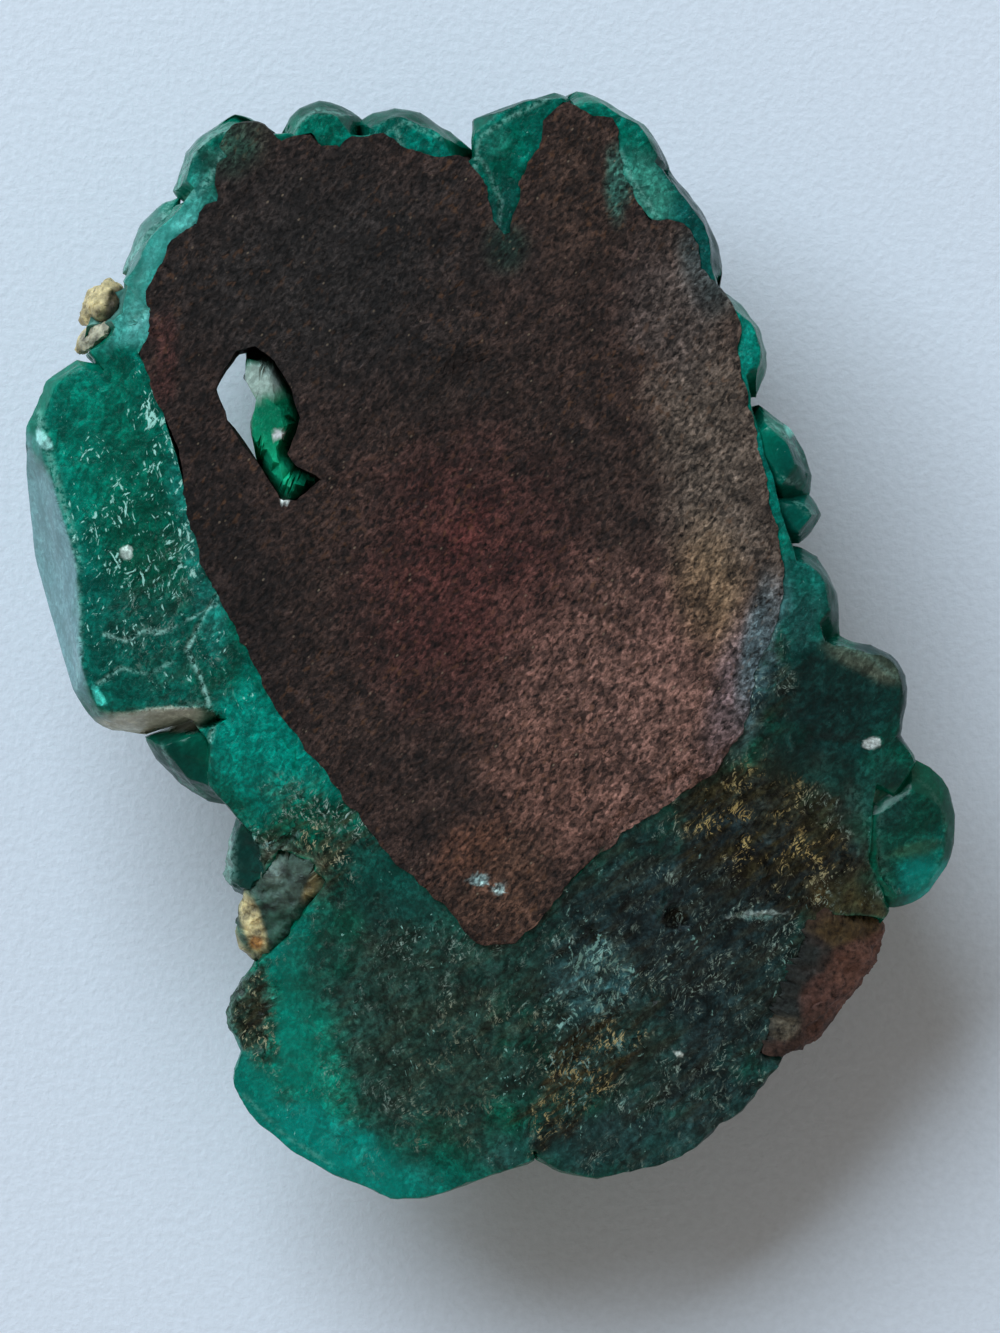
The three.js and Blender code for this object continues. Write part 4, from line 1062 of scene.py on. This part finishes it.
def small_crystal_tree(material):
    """Geometry Nodes: six-sided prisms with three-faced tips, grown outwards over a surface."""
    tree = bpy.data.node_groups.new("grow_small_crystals", "GeometryNodeTree")
    for name, kind in GROWTH_INPUTS:
        tree.interface.new_socket(name, in_out="INPUT", socket_type="NodeSocket" + kind)
    tree.interface.new_socket("Geometry", in_out="OUTPUT", socket_type="NodeSocketGeometry")
    given = put(tree, "NodeGroupInput").outputs
    growth = put(tree, "GeometryNodeInputNamedAttribute", {"Name": "growth"}, data_type="FLOAT")
    density = put(tree, "Math", (growth, given["Count per area"]), operation="MULTIPLY")
    spots = put(
        tree, "GeometryNodeDistributePointsOnFaces",
        {"Mesh": given["Geometry"], "Density": density, "Seed": given["Seed"]},
    )
    # One prism, a unit in radius; the tip's faces lie 51 degrees from its base.
    prism = put(
        tree, "GeometryNodeMeshCylinder", {"Vertices": 6, "Radius": 1.0, "Depth": 1.8},
        fill_type="TRIANGLE_FAN",
    )
    place = put(tree, "SeparateXYZ", (put(tree, "GeometryNodeInputPosition"),)).outputs
    angle = put(tree, "Math", (place["Y"], place["X"]), operation="ARCTAN2")
    triple = put(tree, "Math", (angle, 3.0), operation="MULTIPLY")
    wave = put(tree, "Math", (triple,), operation="COSINE")
    ridge = put(tree, "Math", (wave, 0.0), operation="GREATER_THAN")
    corner = put(tree, "Math", (ridge, CORNER_RISE), operation="MULTIPLY")
    flat = put(tree, "CombineXYZ", (place["X"], place["Y"]))
    radius = put(tree, "VectorMath", (flat,), operation="LENGTH")
    centre = put(tree, "Math", (radius, 0.5), operation="LESS_THAN")
    lift = put(tree, "Mix", (centre, corner, TIP_RISE), data_type="FLOAT")
    upper = put(tree, "Math", (place["Z"], 0.0), operation="GREATER_THAN")
    rise = put(tree, "Math", (lift, upper), operation="MULTIPLY")
    up = put(tree, "CombineXYZ", {"Z": rise})
    tipped = put(tree, "GeometryNodeSetPosition", {"Geometry": prism, "Offset": up})
    size = put(
        tree, "FunctionNodeRandomValue",
        {0: given["Smallest radius"], 1: given["Largest radius"], "Seed": given["Seed"]}, data_type="FLOAT",
    )
    grown = put(
        tree, "GeometryNodeInstanceOnPoints",
        {"Points": spots, "Instance": tipped, "Rotation": spots.outputs["Rotation"], "Scale": size},
    )
    lean = put(
        tree, "FunctionNodeRandomValue",
        {0: (-LEAN, -LEAN, 0.0), 1: (LEAN, LEAN, 6.28), "Seed": given["Seed"]}, data_type="FLOAT_VECTOR",
    )
    turned = put(tree, "GeometryNodeRotateInstances", {"Instances": grown, "Rotation": lean})
    real = put(tree, "GeometryNodeRealizeInstances", {"Geometry": turned})
    finished = put(tree, "GeometryNodeSetMaterial", {"Geometry": real, "Material": material})
    put(tree, "NodeGroupOutput", {"Geometry": finished})
    return tree


def grow(piece, tree, **inputs):
    """Makes the piece what the tree grows on it; each input is named in lower case, with _ for spaces."""
    modifier = piece.modifiers.new(tree.name, "NODES")
    modifier.node_group = tree
    for item in tree.interface.items_tree:
        key = item.name.lower().replace(" ", "_")
        if item.in_out == "INPUT" and key in inputs:
            modifier[item.identifier] = inputs.pop(key)
    if inputs:
        raise KeyError(f"{tree.name} has no inputs {list(inputs)}")
    depsgraph = bpy.context.evaluated_depsgraph_get()
    grown = bpy.data.meshes.new_from_object(piece.evaluated_get(depsgraph), depsgraph=depsgraph)
    piece.modifiers.clear()
    piece.data = grown


# ---------------------------------------------------------------- settings


class DIOPTASE_PG_crystals(PropertyGroup):
    """Shape and finish of the mass of crystals"""

    mesh_size: FloatProperty(
        name="Mesh size", description="Longest edge on the ground back", default=0.355 * MM, unit="LENGTH"
    )
    waviness: FloatProperty(
        name="Waviness", description="Sideways wander of every edge", default=0.12 * MM, unit="LENGTH"
    )
    clumps: FloatProperty(
        name="Clumps", description="Relief of the rough parts of the ground back", default=0.16 * MM,
        unit="LENGTH",
    )
    refraction: FloatProperty(
        name="Refraction", description="Index of refraction of dioptase", default=1.67, min=1, max=3
    )
    ground_roughness: FloatProperty(
        name="Ground roughness", description="Roughness of the ground faces", default=0.24, subtype="FACTOR"
    )
    grown_roughness: FloatProperty(
        name="Grown roughness", description="Roughness of the grown faces", default=0.22, subtype="FACTOR"
    )
    # Painted glow: the colour painted where light shines through thin crystal.
    thin_glow_colour: FloatVectorProperty(
        name="Clear colour", description="Colour of the crystal where it is thin", size=4,
        default=linear("#009080"), subtype="COLOR",
    )
    fibre_colour: FloatVectorProperty(
        name="Fibre colour", description="Colour of the limonite fibres", size=4,
        default=linear("#c4ab70"), subtype="COLOR",
    )
    depth_colour: FloatVectorProperty(
        name="Absorption colour", description="Light left after passing through", size=4,
        default=linear("#00d2a6"), subtype="COLOR",
    )
    depth_density: FloatProperty(
        name="Absorption", description="Absorption per metre inside the crystal", default=3000.0
    )


class DIOPTASE_PG_small(PropertyGroup):
    """Number and sizes of the small crystals"""

    count: FloatProperty(
        name="Crystals", description="Small crystals on each square millimetre of crevice", default=1.6
    )
    smallest: FloatProperty(
        name="Smallest radius", description="Radius of the smallest", default=0.14 * MM, unit="LENGTH"
    )
    largest: FloatProperty(
        name="Largest radius", description="Radius of the largest", default=0.42 * MM, unit="LENGTH"
    )
    seed: IntProperty(name="Seed", description="Another seed sets them elsewhere", default=7)


class DIOPTASE_PG_rock(PropertyGroup):
    """Shape and finish of the host rock"""

    mesh_size: FloatProperty(
        name="Mesh size", description="Longest edge on the ground rock", default=0.3 * MM, unit="LENGTH"
    )
    spread: FloatProperty(
        name="Spread", description="How far the rock reaches into the crystals", default=0.42 * MM,
        unit="LENGTH",
    )
    grain: FloatProperty(
        name="Grain relief", description="Depth of the unevenness the grit left", default=0.04 * MM,
        unit="LENGTH",
    )
    iron_colour: FloatVectorProperty(
        name="Iron colour", description="Warmth of its iron-rich grains", size=4, default=linear("#5a3a22"),
        subtype="COLOR",
    )


class DIOPTASE_PG_stage(PropertyGroup):
    """The paper, the light and the camera"""

    paper_colour: FloatVectorProperty(
        name="Paper colour", description="Colour of the paper", size=4, default=linear("#ecf2fb"),
        subtype="COLOR",
    )
    key: FloatProperty(
        name="Window light", description="Power of the soft light", default=17.2, unit="POWER"
    )
    sky: FloatProperty(name="Room light", description="Strength of the light all round", default=0.52)
    distance: FloatProperty(
        name="Camera distance", description="Distance of the camera above the piece", default=0.6,
        unit="LENGTH",
    )


class DIOPTASE_PG_settings(PropertyGroup):
    """All that a user would change"""

    crystals: PointerProperty(type=DIOPTASE_PG_crystals)
    small: PointerProperty(type=DIOPTASE_PG_small)
    rock: PointerProperty(type=DIOPTASE_PG_rock)
    stage: PointerProperty(type=DIOPTASE_PG_stage)


# ---------------------------------------------------------------- operators


def crystal_sizes(fine):
    """Sizes for fine_solid: small by the markings on the mass, and larger towards its foot."""

    def sizes(points, faces):
        middle = points[faces].mean(axis=1)
        lines = [line_distance(middle, line) for _, line, *_ in SEAMS + GLINTS]
        spots = [away_from(middle, spot[1]) - max(spot[2]) for spot in SPOTS]
        near = np.min(lines + spots, axis=0)
        # In multiples of the fine size, on the ground back and then by height on the grown faces.
        back = np.where(near < 0.3, 0.45, 1.0)
        height = middle[:, 2]
        grown = np.select((height < FOOT_LEVEL, height < 9), (3.2, 2.4), 1.6)
        grown = np.where((near < 0.25) & (height > 8), 0.7, grown)
        return fine * np.where(is_ground(points, faces), back, grown)

    return sizes


def crystal_relief(start, faces, ground, want):
    """The start shape made crooked, crumbly, seamed and hollow, and how pale its seams and painted glints
    are.
    """
    normals = point_normals(start, faces)
    # The tips that carry the piece stay where they are, and the left crystal's prism face stays straight.
    above_floor = ramp(start[:, 2], 0.3, 1.3)
    calm = 1 - 0.8 * patch_weight(start, *PRISM_FACE, turn=8, warp=0)
    rough = feature_weights(start, feature_warp(start), "rough")
    points = start + wander(start, want.waviness / MM, SHARED_WAVE) * (calm * above_floor)[:, None]
    crumbs = wander(start, 1.5 * want.waviness / MM, wavelength=0.7, seed=81.0)
    points = points + crumbs * (rough * above_floor)[:, None]
    # Ground faces: clumps where the crystal is rotten, a faint unevenness elsewhere.
    relief = ground * (FAINT + want.clumps / MM * rough) * fractal(start, 0.85, 4, 9.0)
    # Grown faces: shallow growth hillocks.
    relief += (1 - ground) * calm * FAINT * fractal(start, 1.3, 3, 17.0)
    points = points + (relief * above_floor)[:, None] * normals
    points, pale = hollowed(points, normals, ground)
    points[:, 2] = np.clip(points[:, 2], 0, None)
    return points, pale


def crystal_finish(start, points, faces, ground, pale):
    """The colour of each point of the mass, and the numbers that its material reads."""
    warp = feature_warp(start)
    backed = painted(start, GROUND_GREEN, CRYSTAL_PATCHES, ragged=0.9, edge=0.75)
    grown = painted(start, GROWN_GREEN, GROWN_PATCHES)
    colours = spotted(start, covered_by(grown, backed, ground))
    # The walls of the open hole are crusted, so they scatter light as the ground faces do.
    crusted = patch_weight(start, *HOLE_WALLS, turn=0, warp=0)
    strand = feature_weights(start, warp, "strand")
    clear = feature_weights(start, warp, "clear", edge=1.2)
    crushed = 1 - 0.9 * np.clip(strand, 0, 1)
    tree = BVHTree.FromPolygons(points.tolist(), faces.tolist())
    thin = thinness(points, point_normals(points, faces), tree)
    calm = np.maximum.reduce((0.8 * clear, 0.75 * (1 - ground), np.full(len(clear), 0.4)))
    return colours, {
        "ground": ground,
        "dull": np.maximum(ground, crusted),
        # Painted glow of light through thin crystal: most where the crystal is clear, less where it is
        # crushed and on grown faces.
        "thin": thin * (0.2 + 0.8 * clear) * crushed * (0.5 + 0.5 * ground),
        "fleck": ground * feature_weights(start, warp, "fleck") * (1 - 0.5 * clear),
        "strand": ground * strand,
        "gold": feature_weights(start, warp, "gold"),
        # The paleness of the seams, with the painted highlights of the glints.
        "seam": pale,
        "calm": calm * crushed,
    }


class DIOPTASE_OT_crystals(Operator):
    """Builds the mass of intergrown dioptase crystals on its solid"""

    bl_idname = "dioptase.crystals"
    bl_label = "Dioptase crystals"

    def execute(self, context):
        want = context.scene.rough_dioptase.crystals
        points, faces = fine_solid("dioptase_crystals", crystal_sizes(want.mesh_size / MM))
        host = BVHTree.FromPolygons(*(rows.tolist() for rows in solid_of("host_rock")))
        points = choked(faceted(swollen(points, host)))
        flat = is_ground(points, faces).astype(float)
        ground = gathered(flat, faces, len(points)) / gathered(np.ones(len(faces)), faces, len(points))
        start = soften(points, faces, share=0.4, angle=25)
        points, pale = crystal_relief(start, faces, ground, want)
        finish = crystal_finish(start, points, faces, ground, pale)
        piece = mesh_object("dioptase_mass", points, faces, ground_dioptase(want), *finish, angle=30)
        settle(piece, "dioptase", "dioptase_crystals")
        return {"FINISHED"}


class DIOPTASE_OT_small(Operator):
    """Grows small crystals in the crevices of the mass"""

    bl_idname = "dioptase.small"
    bl_label = "Small crystals"

    def execute(self, context):
        want = context.scene.rough_dioptase.small
        mass = bpy.data.objects["dioptase_mass"].data
        points = read(mass.vertices, "co", 3, np.float32).astype(float) / MM
        faces = read(mass.polygons, "vertices", 3, int)
        ground = read(mass.attributes["ground"].data, "value", kind=np.float32)
        grown = np.clip(1 - 2 * ground, 0, 1)
        height = points[:, 2]
        # They keep to the underside, inside the outline, and otherwise line the open hole.
        below = np.clip(-point_normals(points, faces)[:, 2] * 4, 0, 1) * (height < 8)
        growth = crevice(points, faces) * grown * ramp(height, 1.0, 2.5)
        in_hole = (away_from(points, HOLE) < HOLE_REACH) & (from_place(points)[:, 0] > HOLE_RING[0])
        lining = in_hole * (height < 10.6)
        growth = np.maximum(growth * below, 0.5 * lining * grown)
        growth *= np.clip(0.9 + 1.6 * fractal(points, 3.2, 2, 21.0), 0, 1.5)
        keep = (growth[faces].max(axis=1) > 0.02) & (ground[faces].max(axis=1) < 0.5)
        material = mass.materials[0]
        piece = mesh_object("small_crystals", points, faces[keep], material, values={"growth": growth})
        grow(
            piece, small_crystal_tree(material), count_per_area=want.count / MM**2,
            smallest_radius=want.smallest, largest_radius=want.largest, seed=want.seed,
        )
        mesh = piece.data
        places = read(mesh.vertices, "co", 3, np.float32).astype(float) / MM
        half = np.full(len(places), 0.5)
        # The small crystals get half the painted glow of thin crystal, and are half dull.
        store(mesh, painted(places, SMALL_GREEN, GROWN_PATCHES), {"thin": half, "dull": half})
        mesh.shade_flat()
        settle(piece, "dioptase")
        return {"FINISHED"}


def rock_slab(want, crooked):
    """The ground host rock, grown out to the crystals; crooked is how far its edges wander."""
    fine = want.mesh_size / MM
    points, faces = fine_solid("host_rock", lambda p, f: np.where(is_ground(p, f), fine, 2.4 * fine))
    flat = is_ground(points, faces)
    normals = point_normals(points, faces)
    start = points
    # The solid stands clear of the crystals; here it grows out to them, but not into the open hole.
    out = normals * (1, 1, 0)
    length = np.linalg.norm(out, axis=1)
    rim = length > 0.2
    out = out / np.maximum(length, 1e-9)[:, None] * rim[:, None]
    open_to = ramp(away_from(points, HOLE_RING), HOLE_REACH, HOLE_REACH + 0.8)
    points = points + (want.spread / MM * open_to)[:, None] * out + wander(start, crooked, SHARED_WAVE)
    # Its rim is ragged.
    edge = (fractal(start, 0.7, 4, 40.0) + 0.8 * fractal(start, 2.2, 2, 44.0)) * rim
    points += 0.13 * (edge * open_to)[:, None] * out
    # The ground face stands a twentieth of a millimetre proud, and the grit has left it uneven.
    top = np.zeros(len(points))
    np.maximum.at(top, faces[flat].reshape(-1), 1.0)
    pocks = fractal(start, 0.6, 4, 4.0) + 0.5 * fractal(start, 3.0, 2, 6.0)
    points[:, 2] += top * (0.05 + want.grain / MM * pocks)
    points, _ = hollowed(points, np.tile([0, 0, 1.0], (len(points), 1)), top)
    points += ((1 - top) * 0.06 * fractal(start, 0.9, 4, 8.0))[:, None] * normals
    colours = spotted(start, painted(start, SILTSTONE, ROCK_PATCHES, ragged=0.5, edge=1.1))
    return mesh_object("rock_slab", points, faces, ground_rock(want), colours, angle=40)


def kept_flush(points, over, ripple):
    """The points, none of them higher over the ground back than over, give or take the ripple."""
    flush = ground_height(points) + over + ripple
    return np.column_stack([points[:, :2], np.minimum(points[:, 2], flush)])


def rust_patch():
    """The rusty outcrop of the rock, crumbly, its inner side ground flush with the crystals."""
    points, faces = fine_solid("host_rock_flank", all_over(0.22))
    points = soften(points, faces, share=0.7, angle=20)
    normals = point_normals(points, faces)
    inner = np.clip(normals @ (-0.8, 0.6, 0), 0, 1)
    crumbs = 0.28 + 0.3 * fractal(points, 1.1, 5, 2.0) + 0.6 * inner
    points = points + crumbs[:, None] * normals
    points = kept_flush(points, 0.05, 0.14 * fractal(points, 0.6, 4, 66.0))
    colours = painted(points, IRONSTONE, RUST_PATCHES, ragged=1.4)
    return mesh_object("rust_patch", points, faces, broken_ironstone(), colours, angle=40)


class DIOPTASE_OT_rock(Operator):
    """Builds the ground host rock and its rusty outcrop on their solids"""

    bl_idname = "dioptase.rock"
    bl_label = "Host rock"

    def execute(self, context):
        settings = context.scene.rough_dioptase
        settle(rock_slab(settings.rock, settings.crystals.waviness / MM), "host_rock", "host_rock")
        settle(rust_patch(), "ironstone", "host_rock_flank")
        return {"FINISHED"}


def calcite_chip(node, swell, lean, seed, material):
    """A bit of calcite, swollen out of its solid and towards a lean, and crumbly."""
    points, faces = fine_solid(node, all_over(0.16))
    for _ in range(2):
        points = soften(points, faces, share=0.8, angle=20)
    normals = point_normals(points, faces)
    bumps = swell + 0.22 * fractal(points, 0.7, 5, seed) + lean * np.clip(normals @ (0.64, 0.77, 0), 0, 1)
    points = points + bumps[:, None] * normals
    points = kept_flush(points, 0.04, 0.16 * fractal(points, 0.5, 4, 71.0))
    colours = painted(points, CREAM, CALCITE_PATCHES)
    return mesh_object(node + "_chip", points, faces, material, colours, angle=35)


class DIOPTASE_OT_calcite(Operator):
    """Builds the three bits of calcite on their solids"""

    bl_idname = "dioptase.calcite"
    bl_label = "Calcite"

    def execute(self, context):
        material = broken_calcite()
        # The vein swells furthest, and crumbles against the crystals round it.
        for node, swell, lean, seed in (
            ("calcite_bead", 0.22, 0, 13.0),
            ("calcite_flake", 0.22, 0, 14.0),
            ("calcite_vein", 0.55, 0.5, 15.0),
        ):
            settle(calcite_chip(node, swell, lean, seed, material), "calcite", node)
        return {"FINISHED"}


class DIOPTASE_OT_stage(Operator):
    """Lays the paper, lights it like a window, and sets the camera straight above"""

    bl_idname = "dioptase.stage"
    bl_label = "Paper, light and camera"

    def execute(self, context):
        want = context.scene.rough_dioptase.stage
        scene = context.scene
        sheet = bpy.data.meshes.new("paper_floor")
        corners = [(x * PAPER_REACH, y * PAPER_REACH, 0) for x, y in ((-1, -1), (1, -1), (1, 1), (-1, 1))]
        sheet.from_pydata(corners, [], [(0, 1, 2, 3)])
        sheet.materials.append(writing_paper(want))
        paper = placed("paper_floor", sheet)

        scene.world = bpy.data.worlds.new("room_light")
        scene.world.use_nodes = True
        tree = scene.world.node_tree
        # The ceiling over the piece is darker than the walls, so the ground back does not mirror it.
        toward = put(tree, "SeparateXYZ", (put(tree, "TexCoord").outputs["Generated"],))
        level = put(tree, "MapRange", (toward.outputs["Z"], 0.45, 0.95, want.sky, 0.12 * want.sky))
        feed(tree, tree.nodes["Background"], {"Color": linear(ROOM_COLOUR), "Strength": level})

        light = bpy.data.lights.new("window", "AREA")
        light.shape = "RECTANGLE"
        light.size, light.size_y = WINDOW_SIZE
        light.energy = want.key
        light.color = linear(WINDOW_COLOUR)[:3]
        window = placed("window", light)
        window.location = WINDOW_PLACE
        window.rotation_euler = (-Vector(WINDOW_PLACE)).to_track_quat("-Z", "Y").to_euler()

        scene.camera = placed("camera", bpy.data.cameras.new("camera"))
        scene.camera.location = (*VIEW_MIDDLE, 10 * MM + want.distance)
        lens = scene.camera.data
        lens.sensor_width = 36
        lens.lens = 36 * want.distance / VIEW_HEIGHT
        lens.clip_start, lens.clip_end = 0.01, 20
        scene.view_settings.view_transform = "Standard"
        return {"FINISHED"}


STEPS = (
    DIOPTASE_OT_crystals,
    DIOPTASE_OT_small,
    DIOPTASE_OT_rock,
    DIOPTASE_OT_calcite,
    DIOPTASE_OT_stage,
)


class DIOPTASE_PT_panel(Panel):
    """The pieces of the specimen, in the order they are built"""

    bl_idname = "DIOPTASE_PT_panel"
    bl_label = "Rough dioptase"
    bl_space_type = "VIEW_3D"
    bl_region_type = "UI"
    bl_category = "Dioptase"

    def draw(self, context):
        settings = context.scene.rough_dioptase
        for step in STEPS:
            self.layout.operator(step.bl_idname)
        for group in (settings.crystals, settings.small, settings.rock, settings.stage):
            box = self.layout.box()
            for key in group.__annotations__:
                box.prop(group, key)


CLASSES = (
    DIOPTASE_PG_crystals,
    DIOPTASE_PG_small,
    DIOPTASE_PG_rock,
    DIOPTASE_PG_stage,
    DIOPTASE_PG_settings,
    *STEPS,
    DIOPTASE_PT_panel,
)


def register():
    """Makes the settings and the operators known, and gives the scene its settings."""
    for cls in CLASSES:
        bpy.utils.register_class(cls)
    bpy.types.Scene.rough_dioptase = PointerProperty(type=DIOPTASE_PG_settings)


def unregister():
    """Takes all that register added away again."""
    del bpy.types.Scene.rough_dioptase
    for cls in reversed(CLASSES):
        bpy.utils.unregister_class(cls)


def main():
    """Builds the pieces in order."""
    register()
    bpy.ops.dioptase.crystals()
    bpy.ops.dioptase.small()
    bpy.ops.dioptase.rock()
    bpy.ops.dioptase.calcite()
    bpy.ops.dioptase.stage()


if __name__ == "__main__":
    main()
